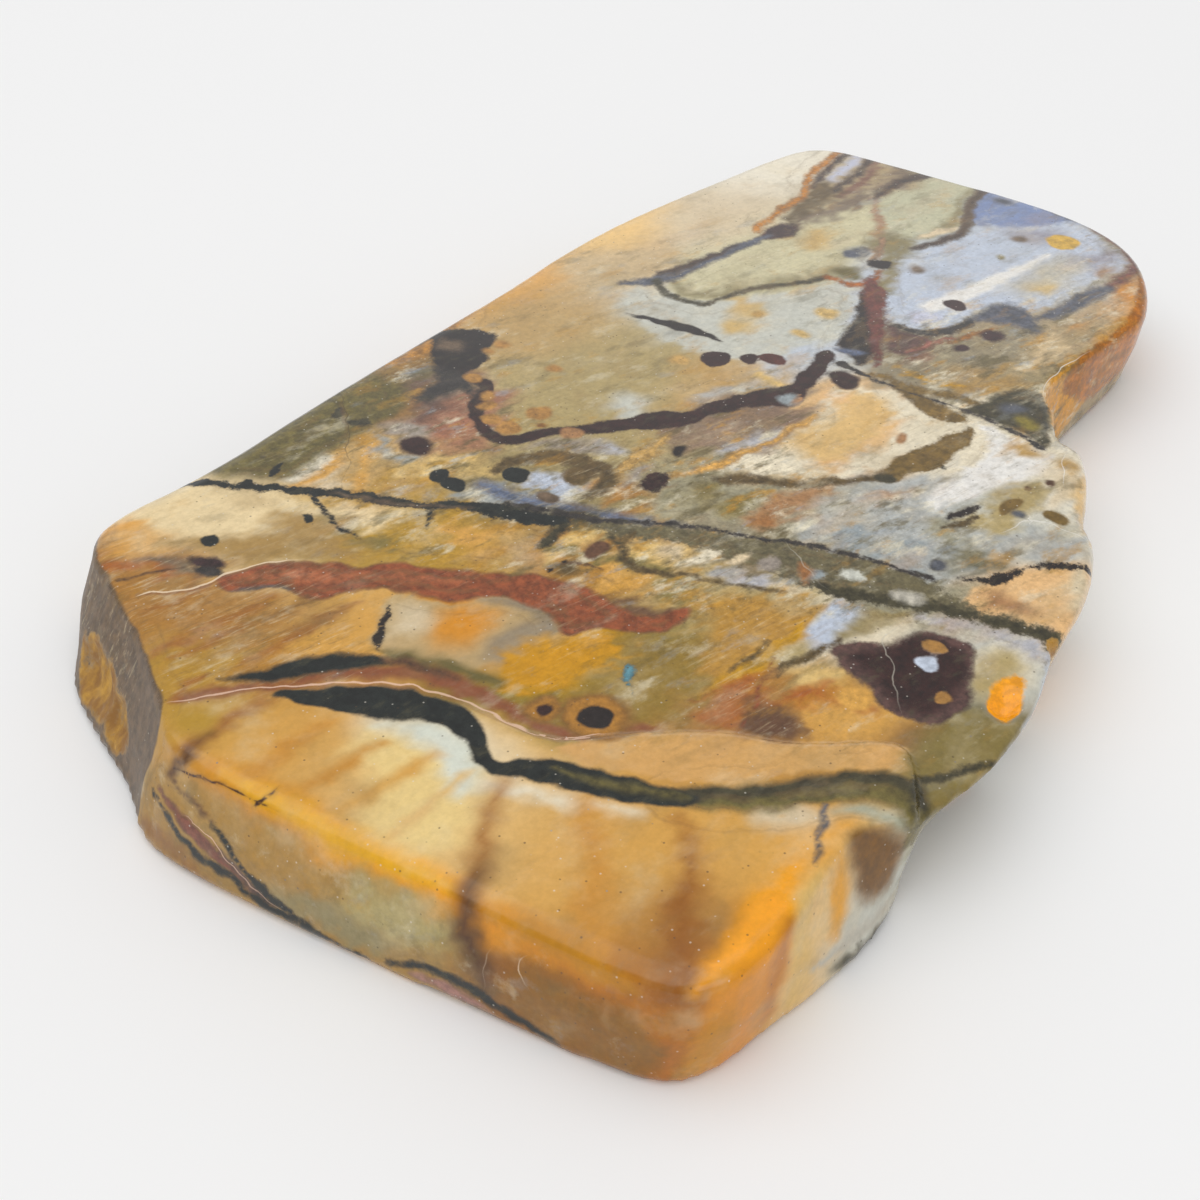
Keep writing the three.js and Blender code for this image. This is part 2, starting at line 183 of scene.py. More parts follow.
# soft areas laid straight over the ground, in this order
fields = dict(
    # far end
    farOvalLilac=vein("lilacWhite", 0.6, [(-11.4, 49.6, 0.8), (-11.3, 46, 1.4), (-11.4, 43, 0.9)], 0.4),
    farRedBrown=vein("redBrown", 0.5, [(-9.6, 50, 1.0), (-8.8, 46, 0.9), (-8.7, 43, 1.0), (-9.3, 40, 0.9)],
        0.5),
    farBrownGrey=vein("brownGrey", 0.9, [(-6.8, 50, 1.4), (-6.2, 46, 1.4), (-6.8, 43, 1.6),
        (-7.8, 39.5, 2.0), (-9.2, 36, 2.2), (-10.4, 33, 1.6), (-11, 30.5, 1.2)], 0.8),
    farOliveGrey=patch("oliveBrown", 1.0, [(-12.2, 42), (-10, 41.6), (-9.4, 38), (-10.6, 33.6),
        (-12.2, 33.4), (-12.4, 37)], 0.6),
    farGlowSand=orb("sandGlow", 1.5, -7.4, 31, 1.2, 3.0, 8),
    pocketShade=vein("olivePale", 0.9, [(-14.6, 17.4, 0.8), (-12.6, 16.2, 1.4), (-10.6, 17, 1.2),
        (-8.8, 19.6, 1.2), (-6.8, 21.8, 1.2), (-4.6, 24.4, 1.2), (-3.4, 27, 1.0)], 0.4),
    pinkBeigeLine=vein("pinkBeige", 0.35, [(-6.2, 42, 0.3), (-5.2, 39.4, 0.7), (-3.8, 37, 0.8),
        (-2.8, 34.4, 0.8), (-2, 31.6, 0.6), (-1.2, 29.6, 0.5)], 0.4),
    sageShade=vein("olivePale", 0.7, [(1, 48, 0.6), (1.1, 44.6, 0.8), (2, 41.6, 0.8), (2, 38.6, 0.8),
        (1, 36.6, 0.8)], 0.4),
    oliveJoin=patch("olivePale", 0.8, [(-2.6, 35.2), (0.2, 35.4), (0.8, 33), (1.2, 29.6), (2.4, 26),
        (1.4, 25.2), (0, 28), (-0.8, 31), (-3, 32)], 0.5),
    slateJoin=orb("slateDull", 0.6, -3.2, 30.4, 1.1, 1.1, 0, 0.4),
    oliveKnot=orb("olive", 0.6, -2.5, 26.6, 1.2, 1.2, 0, 0.4),
    lilacHaze=orb("lilacShade", 1.4, 9.6, 42.2, 2.2, 1.4, 30),
    lilacHazeRight=orb("lilacShade", 1.4, 15.6, 40.6, 1.6, 2.6, -10),
    sandRight=orb("paleGrey", 1.8, 13, 35, 1.8, 4.6, -10),
    sandRightGlow=orb("sandGlow", 1.0, 13.2, 32.8, 0.9, 1.1, 0),
    sandTouch=orb("pinkBeige", 0.7, 17, 38, 0.5, 1.1, 0),
    blueTop=orb("slate", 0.8, 10.6, 47.4, 2.2, 0.5, -12),
    # a white vein whose bright streak is partly its own white, partly a painted reflection from a fracture
    # inside
    whiteRidgePaintedReflection=patch("white", 0.35, [(11.5, 39.3), (10.3, 36.4), (8.7, 32.6), (7.2, 29), (5.6, 25.6),
        (5.2, 24.4), (6.6, 24.3), (8.4, 27.6), (10, 32.4), (11.2, 36)], 0.15),
    whiteRidgeFoot=orb("lilacWhite", 0.6, 6.4, 23, 1.2, 1.2, 0),
    tanWarm=orb("khakiBrown", 1.4, 14.6, 15.6, 3.0, 2.4, 0),
    greyStreak=vein("tanGrey", 0.7, [(12.4, 25.6, 0.8), (13.8, 23.4, 1.8), (14.4, 20.4, 1.4),
        (13.6, 17.4, 0.6)], 0.8),
    goldWisp=vein("gold", 0.35, [(7.6, 14.6, 0.3), (10.2, 13.8, 0.7), (12.8, 14.2, 0.3)], 0.6),
    tanLight=vein("beige", 0.5, [(16.8, 26, 0.6), (17.2, 22, 1.4), (16.4, 18.4, 0.8)], 0.7),
    mauveSmudge=orb("redBrown", 0.8, 7.8, 17.2, 1.5, 1.2, 0, 0.5),
    sandOrange=orb("sandGlow", 0.8, -6.6, 16.4, 1.6, 1.4, 0),
    sandOrangeB=orb("sandGlow", 0.9, -6.4, 13.4, 1.1, 1.4, 0),
    sandOrangeC=orb("sandGlow", 0.7, -8.4, 17.6, 0.9, 0.7, 0),
    goldFacetRight=patch("goldFacet", 0.25, [(19.2, 16), (18.8, 18.4), (19.2, 21.4), (20.2, 25), (21.4, 28),
        (24, 30), (26, 20), (22, 13)], 0.1),
    # middle
    mauveField=patch("mauve", 1.2, [(-2.5, 4), (0.5, 6.6), (3.6, 6.8), (4.9, 4), (4.3, 1), (3, -1.6),
        (1.4, -4.4), (-2, -4.6), (-3.6, -1)], 0.6),
    lilacStreak=vein("paleLilac", 0.6, [(3.4, 1.6, 0.3), (2.6, -1, 1.3), (1.5, -3.8, 0.9)], 0.4),
    flameHoney=patch("honeyPale", 0.9, [(6.2, 8.8), (5.6, 5), (4.8, 1), (5.8, -2), (8.2, -1.6), (10.4, 2.6),
        (10.6, 7), (8.6, 9.6)], 0.5),
    whiteFoot=orb("ivory", 1.0, 5.8, -2.4, 2.6, 1.5, 15),
    blueHaze=orb("mistBlue", 1.0, 11.6, -2.9, 2.4, 1.2, 20),
    blueHazeUp=orb("mistBlue", 0.9, 14.8, -0.6, 1.4, 1.6, 0),
    blushStreak=vein("blush", 0.5, [(15.4, -0.6, 0.3), (13.6, -3, 0.8), (12, -5.2, 0.6)], 0.4),
    blueGreen=orb("greenGrey", 1.2, 5, -7.4, 2.2, 1.4, 10),
    mossHaze=orb("khakiOlive", 1.4, 3, -9.6, 2.4, 1.8, 0),
    orangeHaze=patch("clay", 1.2, [(6.4, -10.8), (6, -8.6), (7.6, -6), (8.6, -4.6), (10, -5), (9.6, -7.6),
        (8.6, -10.6)], 0.8),
    clayCore=orb("clayDeep", 1.0, 7.6, -9.4, 1.3, 1.0, 0),
    creamGrey=orb("paleGrey", 1.4, 13, -6.8, 2.6, 2.2, 0),
    blueFoot=orb("slateMist", 1.1, 13.4, -9, 2.2, 1.0, 8),
    blueFootEast=orb("slateMist", 1.0, 17.6, -8, 2.4, 1.2, 12),
    brownPatch=orb("greenGrey", 1.0, 18.8, -4.2, 1.4, 1.0, 0),
    darkGreyEast=patch("greenGreyDark", 0.8, [(19.6, -5.4), (20.8, -4.8), (22.8, -5), (24.4, -5.4),
        (24, -7), (21.6, -7.8), (20, -7)], 0.6),
    blueWhiteEast=orb("mistBlue", 0.9, 21.8, -3.4, 2.0, 1.0, 25),
    lilacEast=orb("mistBlue", 1.0, 26, -1.6, 2.4, 1.6, -15),
    khakiEast=patch("khaki", 0.8, [(21.2, 3.2), (22.8, 4), (23.8, 2), (22.8, -1.8), (20.8, -3.2),
        (19.6, -2.6), (20.8, -0.4)], 0.6),
    creamEast=orb("cream", 1.2, 24.6, 5.6, 2.2, 3.0, 0),
    amberEast=orb("honeyPale", 1.0, 27.4, 4.6, 1.4, 4.0, 14),
    goldSpotA=orb("ochrePale", 0.7, 20.6, 8.6, 1.2, 0.9, 0),
    goldSpotB=orb("ochrePale", 0.7, 24, 8.4, 1.2, 0.8, 30),
    peachOrange=orb("clay", 0.9, 26.2, -9.7, 1.3, 0.9, 0),
    peachLight=orb("cream", 1.0, 29.4, -6, 1.0, 2.4, 0),
    # left side and the pocket above vein one
    slateHaze1=orb("greenGreyDark", 1.2, -24.4, -6.4, 1.8, 1.8, 0),
    purpleHaze=orb("purpleBrown", 1.4, -21.6, -7.6, 1.9, 2.8, 10),
    ochreWest=patch("ochreDull", 1.2, [(-29, -6), (-26.4, -5.6), (-24, -8), (-23, -11), (-24, -13.4),
        (-27, -13), (-30, -12)], 0.8),
    pinkHaze1=orb("pinkBrown", 1.2, -18.6, -11.8, 2.4, 1.8, 0),
    orangeHaze1=orb("clay", 1.0, -17, -13.4, 1.6, 1.2, 0),
    creamHaze1=orb("creamYellow", 1.0, -14.2, -15, 2.4, 1.4, 10),
    lilacHaze1=orb("lilacGrey", 1.0, -21, -12.8, 1.4, 1.8, 0),
    goldRound=orb("goldDull", 0.8, -17, -17.8, 2.4, 2.0, 0),
    goldRoundIn=orb("creamYellow", 0.5, -17.2, -17.6, 1.3, 1.0, 0),
    goldRoundEye=orb("goldDull", 0.4, -17.3, -17.6, 0.6, 0.5, 0),
    slateRim=vein("slateMist", 0.7, [(-21.6, -15.8, 0.4), (-19.2, -16.6, 1.0), (-18, -15.8, 0.4)]),
    slatePocket=patch("slateMist", 0.8, [(-13, -19), (-12, -17), (-10.6, -16), (-8, -15.8), (-6.4, -16.4),
        (-7.4, -17.4), (-10, -18.2)], 0.5),
    creamWest=orb("creamWhite", 0.8, -24.4, -20.6, 1.7, 2.2, 0),
    creamWest2=orb("cream", 0.8, -21.4, -21.6, 1.4, 0.9, 20),
    amberRib1=vein("honey", 0.4, [(-23.3, -17.8, 0.5), (-22.9, -20, 0.9), (-23, -21.8, 0.9),
        (-23.8, -23.4, 0.6)], 0.3),
    amberRib2=vein("honey", 0.4, [(-21.8, -16.4, 0.4), (-20.8, -18.6, 0.8), (-19.8, -20.6, 0.8),
        (-19.2, -21.6, 0.5)], 0.3),
    brownWest=orb("brownDull", 1.0, -28.2, -17.4, 1.6, 2.2, 0),
    pinkWest=orb("blush", 1.0, -28, -21.4, 1.8, 1.8, 0),
    creamBelow=patch("creamWarm", 0.8, [(-24.6, -25.4), (-21, -24.6), (-17.6, -23.4), (-15, -22.9),
        (-15.4, -24.4), (-18.4, -25.6), (-22, -26.8)], 0.5),
    oliveBelow=vein("khakiOlive", 0.7, [(-19, -25.4, 0.8), (-16, -26.2, 1.4), (-13, -25.6, 0.9)], 0.6),
    goldBelow=orb("honey", 1.2, -9, -22, 3.0, 1.4, 12),
    lilacOval=orb("paleLilac", 0.6, -6.5, -7.3, 1.2, 1.0, 0),
    lilacOvalGlow=orb("lilacGrey", 1.2, -9, -8.6, 2.6, 1.2, 30),
    blueBesideVein=vein("mistBlue", 0.7, [(-0.8, 6.4, 0.4), (-2.6, 4.2, 0.8), (-4, 1.8, 0.6)], 0.4),
    creamStreak=vein("creamYellow", 0.4, [(-2, 8.2, 0.4), (-0.6, 7.5, 1.0), (0.9, 7.2, 0.6)], 0.3),
    sandSpotA=orb("ochrePale", 0.7, -4, 5.6, 1.4, 1.1, 0),
    sandSpotB=orb("ochrePale", 0.5, -7.6, -3.6, 0.6, 0.5, 0),
    paleBelowVein=orb("cloud", 1.2, -7.4, -1.6, 2.0, 1.4, 20),
    orangeMid=orb("ochre", 0.9, -2.2, -12, 1.6, 1.8, 0),
    lilacSmear=vein("lilacGrey", 0.4, [(-2.6, -8, 0.5), (-3, -9.6, 1.0), (-3, -11, 0.4)], 0.4),
    greyGreenMid=patch("khakiDull", 0.8, [(-5.6, -14.6), (-2, -13.8), (0.6, -13.2), (0.6, -15.6), (-2, -17),
        (-5.6, -17.6)], 0.8),
    yellowSlip=vein("creamYellow", 0.5, [(-2.2, -16.4, 0.6), (-2.5, -18.4, 1.3), (-2.7, -20, 1.4),
        (-2.6, -21.4, 0.8)], 0.4),
    # below the dark band
    creamDropA=patch("creamYellow", 0.5, [(1.2, -17.8), (1.9, -16.4), (3.3, -15.6), (4.9, -15.7),
        (5.1, -17), (4.3, -18.1), (2.5, -18.7)], 0.4),
    creamDropCore=orb("cream", 0.5, 3.7, -16.6, 0.9, 0.8, 0),
    creamStrokes=vein("ivory", 0.35, [(6.9, -13.6, 0.3), (6.1, -15.4, 1.1), (5.2, -17.2, 0.3)], 0.5),
    lilacLens=patch("paleLilac", 0.35, [(7.2, -17.3), (8, -15.6), (9.5, -15.1), (11.6, -15.5),
        (11.2, -16.2), (9.2, -16.8)], 0.3),
    creamTop2=orb("cream", 0.5, 12.6, -15.8, 1.0, 0.5, 10),
    lilacBlock=patch("mist", 0.45, [(15.1, -19.2), (15.5, -16.4), (16.1, -15), (18.1, -15.1), (17.9, -17.6),
        (17.1, -19.6), (16, -20.2)], 0.3),
    oliveStreak=vein("khakiDull", 0.6, [(20, -13.9, 1.0), (18.8, -16, 1.6), (17.6, -18.4, 0.8)], 0.4),
    oliveLedge=vein("khakiOlive", 0.6, [(-4, -19.8, 0.8), (0, -19.4, 1.2), (4, -18.9, 1.6), (7, -19.6, 2.0),
        (9, -21, 1.2)], 0.6),
    oliveSpot=orb("oliveBrown", 0.5, -1.4, -21.7, 0.9, 0.7, 0),
    goldAbove=orb("honey", 0.8, 1.8, -20.6, 1.8, 0.7, 0),
    mauveTail=patch("umber", 0.8, [(2.2, -22.6), (4, -21.6), (6.4, -21.8), (7.4, -20.6), (7.4, -22.8),
        (5.6, -23.4)], 0.6),
    goldField=patch("honeyDull", 1.2, [(9, -18.6), (12, -17.4), (14.6, -18.4), (14.8, -22), (13.6, -25.4),
        (10.4, -24.8), (9, -21.6)], 0.8),
    goldStrip=vein("gold", 0.6, [(14.6, -19.4, 1.0), (14.4, -22.4, 1.5), (13.4, -25.4, 1.3),
        (12, -28.4, 0.6)], 0.5),
    khakiPale=orb("khaki", 0.7, 15.9, -21.6, 0.8, 1.6, 0),
    yellowPool=orb("creamYellow", 0.9, 18.2, -22.8, 1.4, 1.3, 0),
    khakiWide=patch("ochreOlive", 1.4, [(5.4, -25), (9, -23.8), (12.6, -26), (13, -29.6), (10.6, -31.6),
        (6.4, -31.4), (5, -28.6)], 0.8),
    yellowTongue=patch("goldDeep", 0.7, [(0.2, -31.4), (0.9, -29.2), (1.8, -27.8), (2.9, -27.2), (4, -26.2),
        (5.4, -26), (6.2, -27.2), (5.6, -29.6), (4.2, -31.8), (2.4, -33.2), (0.4, -33)], 0.9),
    rustGlow=patch("rustPale", 0.9, [(12.8, -29.8), (13.2, -26.8), (14.4, -24.6), (15.4, -25.4),
        (15.9, -28.8), (14.4, -30.4)], 0.6),
    orangeStroke=vein("rustPale", 0.9, [(16.2, -27, 1.2), (18, -25.4, 1.6), (20, -23.8, 1.4),
        (21.6, -23.6, 0.8)], 0.5),
    brownCorner=patch("umber", 0.7, [(15.9, -29.6), (15.9, -27.2), (17.2, -26.4), (18.6, -27),
        (18.6, -28.8)], 0.5),
    oliveEastEdge=patch("khakiOlive", 1.0, [(26.8, -20.6), (29, -20.6), (31, -20), (31.4, -27), (28, -30),
        (25.6, -27.4), (25.8, -24)], 0.4),
    # front lobe
    streakFarLeft=vein("streakBrown", 0.7, [(-10.6, -42, 0.5), (-11.4, -45, 1.2), (-11.9, -48.6, 1.2)],
        0.3),
    streakF=vein("streakPale", 0.7, [(-6.2, -41.8, 0.5), (-6.5, -44.6, 1.1), (-7, -48, 0.9)], 0.2),
    streakE=vein("streakPale", 0.5, [(-2, -41.6, 0.3), (-2.8, -44, 0.8), (-3.6, -48, 0.6)], 0.2),
    streakC=vein("honey", 0.6, [(1.4, -40.6, 0.3), (0.6, -43, 0.9), (-1, -48, 0.7)], 0.2),
    streakD=vein("honeyPale", 0.4, [(3.9, -41, 0.3), (3.4, -44.6, 0.6), (3, -47.6, 0.5)], 0.2),
    streakA=vein("streakPale", 1.2, [(11, -39.4, 0.6), (13, -42, 1.6), (15, -45.4, 2.0), (17, -49, 1.6)],
        0.3),
    streakB=vein("amberBrown", 1.4, [(16.6, -37.6, 0.2), (18.4, -40.6, 0.8), (20.4, -44, 1.8),
        (22, -48.4, 2.2)], 0.3),
    # the yellow along the front rim: partly the stone's own amber-yellow, partly painted glow and highlight
    # of the rounded edge
    lobeEdgeGoldPaintedGlow=vein("lobeYellowPaintedGlow", 1.0, [(-8.4, -48.8, 0.5), (-5.5, -49.1, 1.6), (-2, -49.3, 2.0),
        (2.4, -49.3, 2.2), (6, -49.1, 1.6), (8.2, -48.9, 0.6)], 0.3),
    lobeEdgeDark=vein("amberGold", 0.9, [(10.8, -48.9, 0.8), (13.9, -48.9, 1.7), (16.7, -49.2, 1.7),
        (19.4, -49.6, 1.1)], 0.3),
    wallPaleMid=patch("wallPale", 1.4, [(1.4, -51.6), (8.6, -51.4), (9, -54.4), (5, -55.6), (1, -55)], 0.4),
    wallGreenLow=patch("wallGreen", 1.0, [(-3, -55.6), (1, -54.8), (5, -55.8), (4.6, -57), (0, -57.4),
        (-3, -56.8)], 0.4),
    wallDarkRight=patch("wallUmber", 1.4, [(12.6, -52.4), (17, -51.8), (22, -52.6), (23.6, -56), (18, -58),
        (13, -57)], 0.4),
    wallLow=vein("wallTan", 0.8, [(-18.4, -56, 1.6), (-14.4, -57, 1.8), (-9.4, -58.2, 1.4)], 0.3),
    cornerShade=vein("cornerBrown", 0.6, [(-11.5, -46.4, 0.3), (-11.8, -49, 1.1), (-13.4, -51, 0.7)], 0.3),
    arcLeft=vein("cornerBrown", 0.25, [(-13.4, -50.8, 0.2), (-12.2, -51.5, 0.35), (-10.4, -52.2, 0.35),
        (-8.8, -53, 0.2)], 0.15),
    # painted glow: bright amber beside the ridge line of the right facet, over the stone's own amber
    ridgeGoldPaintedGlow=vein("amberPaintedGlow", 0.8, [(23.9, -37.8, 0.4), (23.8, -41, 1.5), (23.6, -43.8, 1.7),
        (23.2, -46, 1.3), (22.8, -47.8, 0.6)], 0.2),
    mainStreak=vein("streakBrown", 1.0, [(6, -40.5, 0.6), (6.8, -42.7, 0.8), (7.6, -45.2, 1.0),
        (8.6, -47.6, 1.3), (9.3, -49.4, 1.4)], 0.15),
    mainStreakLow=vein("burnt", 1.3, [(8.6, -46.8, 0.1), (9.3, -49.2, 1.1), (9.8, -51.4, 1.7),
        (10.4, -53.4, 1.4), (10.9, -55.4, 0.9), (11.3, -57.2, 0.3)], 0.2),
    flankSteel=vein("amberWarm", 0.8, [(25.6, -35.2, 0.6), (27.6, -35.9, 1.6), (29, -36.7, 1.6),
        (30.6, -38, 0.9)], 0.2),
    flankCreamStripe=vein("flankCreamTone", 0.8, [(25.2, -37.4, 1.4), (25.6, -39.2, 2.0), (27, -40.4, 2.2),
        (29.9, -41.5, 2.4), (31.7, -42.9, 1.8)], 0.2),
    flankBrownStripe=vein("flankBrown", 0.8, [(25.1, -41, 0.6), (26.7, -42.7, 1.5), (29.1, -44.1, 1.3),
        (31, -45, 0.8)], 0.2),
    flankGreyArc=vein("arcGrey", 0.6, [(23.6, -32.9, 0.6), (25, -31.8, 1.1), (26.8, -31.5, 1.3),
        (29.3, -31.3, 1.3), (31.8, -30.8, 1.0)], 0.2),
    flankWhite=vein("paleGrey", 0.45, [(31.2, -41, 0.5), (32.4, -37.5, 1.0), (33.8, -34.4, 1.1),
        (34, -31.4, 0.7)], 0.3),
    flankOlive=vein("oliveDark", 0.5, [(33.6, -39.6, 0.7), (34.5, -37.2, 1.2), (35.2, -34.2, 1.1),
        (35.4, -31, 0.8)], 0.3),
    flankAmberLow=orb("amberGold", 1.4, 27.4, -51, 1.6, 3.4, -10),
    flankCream=orb("cream", 1.0, 21.6, -34.8, 1.8, 1.0, 20),
    # lower left
    khakiShade=patch("khakiBrown", 1.0, [(-22, -26.6), (-19, -25.6), (-16.6, -26.2), (-14.6, -28),
        (-16.4, -29.2), (-19, -30.8), (-20.6, -32.4), (-24, -33), (-27, -33.4), (-24.4, -31.4),
        (-21.8, -29.4)], 0.5),
    brickWest=vein("rustPale", 0.8, [(-30, -38, 1.2), (-27.8, -36.4, 1.6), (-25.4, -35.7, 1.2),
        (-22.6, -35.3, 0.8)], 0.3),
    plumWest=vein("brownGrey", 0.5, [(-27, -35.6, 0.3), (-25, -34.9, 1.0), (-22.6, -34.8, 0.8)], 0.3),
    streakLowA=vein("streakBrown", 0.45, [(-16.6, -34, 0.3), (-17.4, -36.4, 0.8), (-18.6, -40, 1.1),
        (-19.6, -42.6, 0.6)], 0.3),
    streakLowB=vein("streakBrown", 0.5, [(-11.4, -31.6, 0.3), (-12.4, -34.4, 1.0), (-13.2, -38, 0.9),
        (-13.8, -40, 0.4)], 0.3),
    streakLowC=vein("streakBrown", 0.35, [(-21, -35.6, 0.2), (-21.8, -37.4, 0.6), (-22.6, -39.4, 0.3)],
        0.3),
    streakLowD=vein("ochreDark", 0.4, [(-13, -30.8, 0.3), (-14.6, -33.6, 0.6), (-15.4, -36, 0.3)], 0.3),
    streakLowE=vein("streakBrown", 0.4, [(-16, -36.8, 0.2), (-17.2, -40, 0.7), (-18, -42.4, 0.4)], 0.3),
    haloLens=vein("haloBrown", 0.45, [(-15, -44.6, 0.9), (-13, -42.8, 1.1), (-11, -40.9, 1.0),
        (-9, -39, 1.1), (-7.4, -37.6, 1.1), (-5.6, -36.3, 1.4), (-3.6, -35.3, 1.7), (-1.4, -34.9, 2.0),
        (1, -35, 1.6), (4, -35.4, 1.2), (7, -35.2, 1.1), (9, -33.6, 1.0), (11.6, -31.8, 0.5)], 0.25),
    oliveLensTail=vein("olive", 0.5, [(-7.4, -35.2, 0.3), (-5, -34.2, 0.9), (-2, -33.6, 0.9),
        (1, -33.4, 0.8)], 0.3),
    cornerMustard=orb("mustard", 0.7, -13, -46, 1.4, 1.2, 0),
    cornerRing=vein("streakBrown", 0.3, [(-15.2, -42.8, 0.3), (-15.8, -43.8, 0.6), (-15.4, -45.2, 0.4)],
        0.2),
    limeEdge=orb("khaki", 1.2, 27.4, -16, 1.4, 2.6, 0),
    lilacUnderBand=vein("paleLilac", 0.6, [(21, -13.9, 0.8), (25, -13, 1.5), (29, -12.8, 1.4),
        (32, -13.4, 1.4)], 0.3),
    lilacRim=vein("mist", 0.5, [(31, -14, 1.2), (31.8, -18, 1.2), (31.6, -22, 0.8)], 0.3),
)

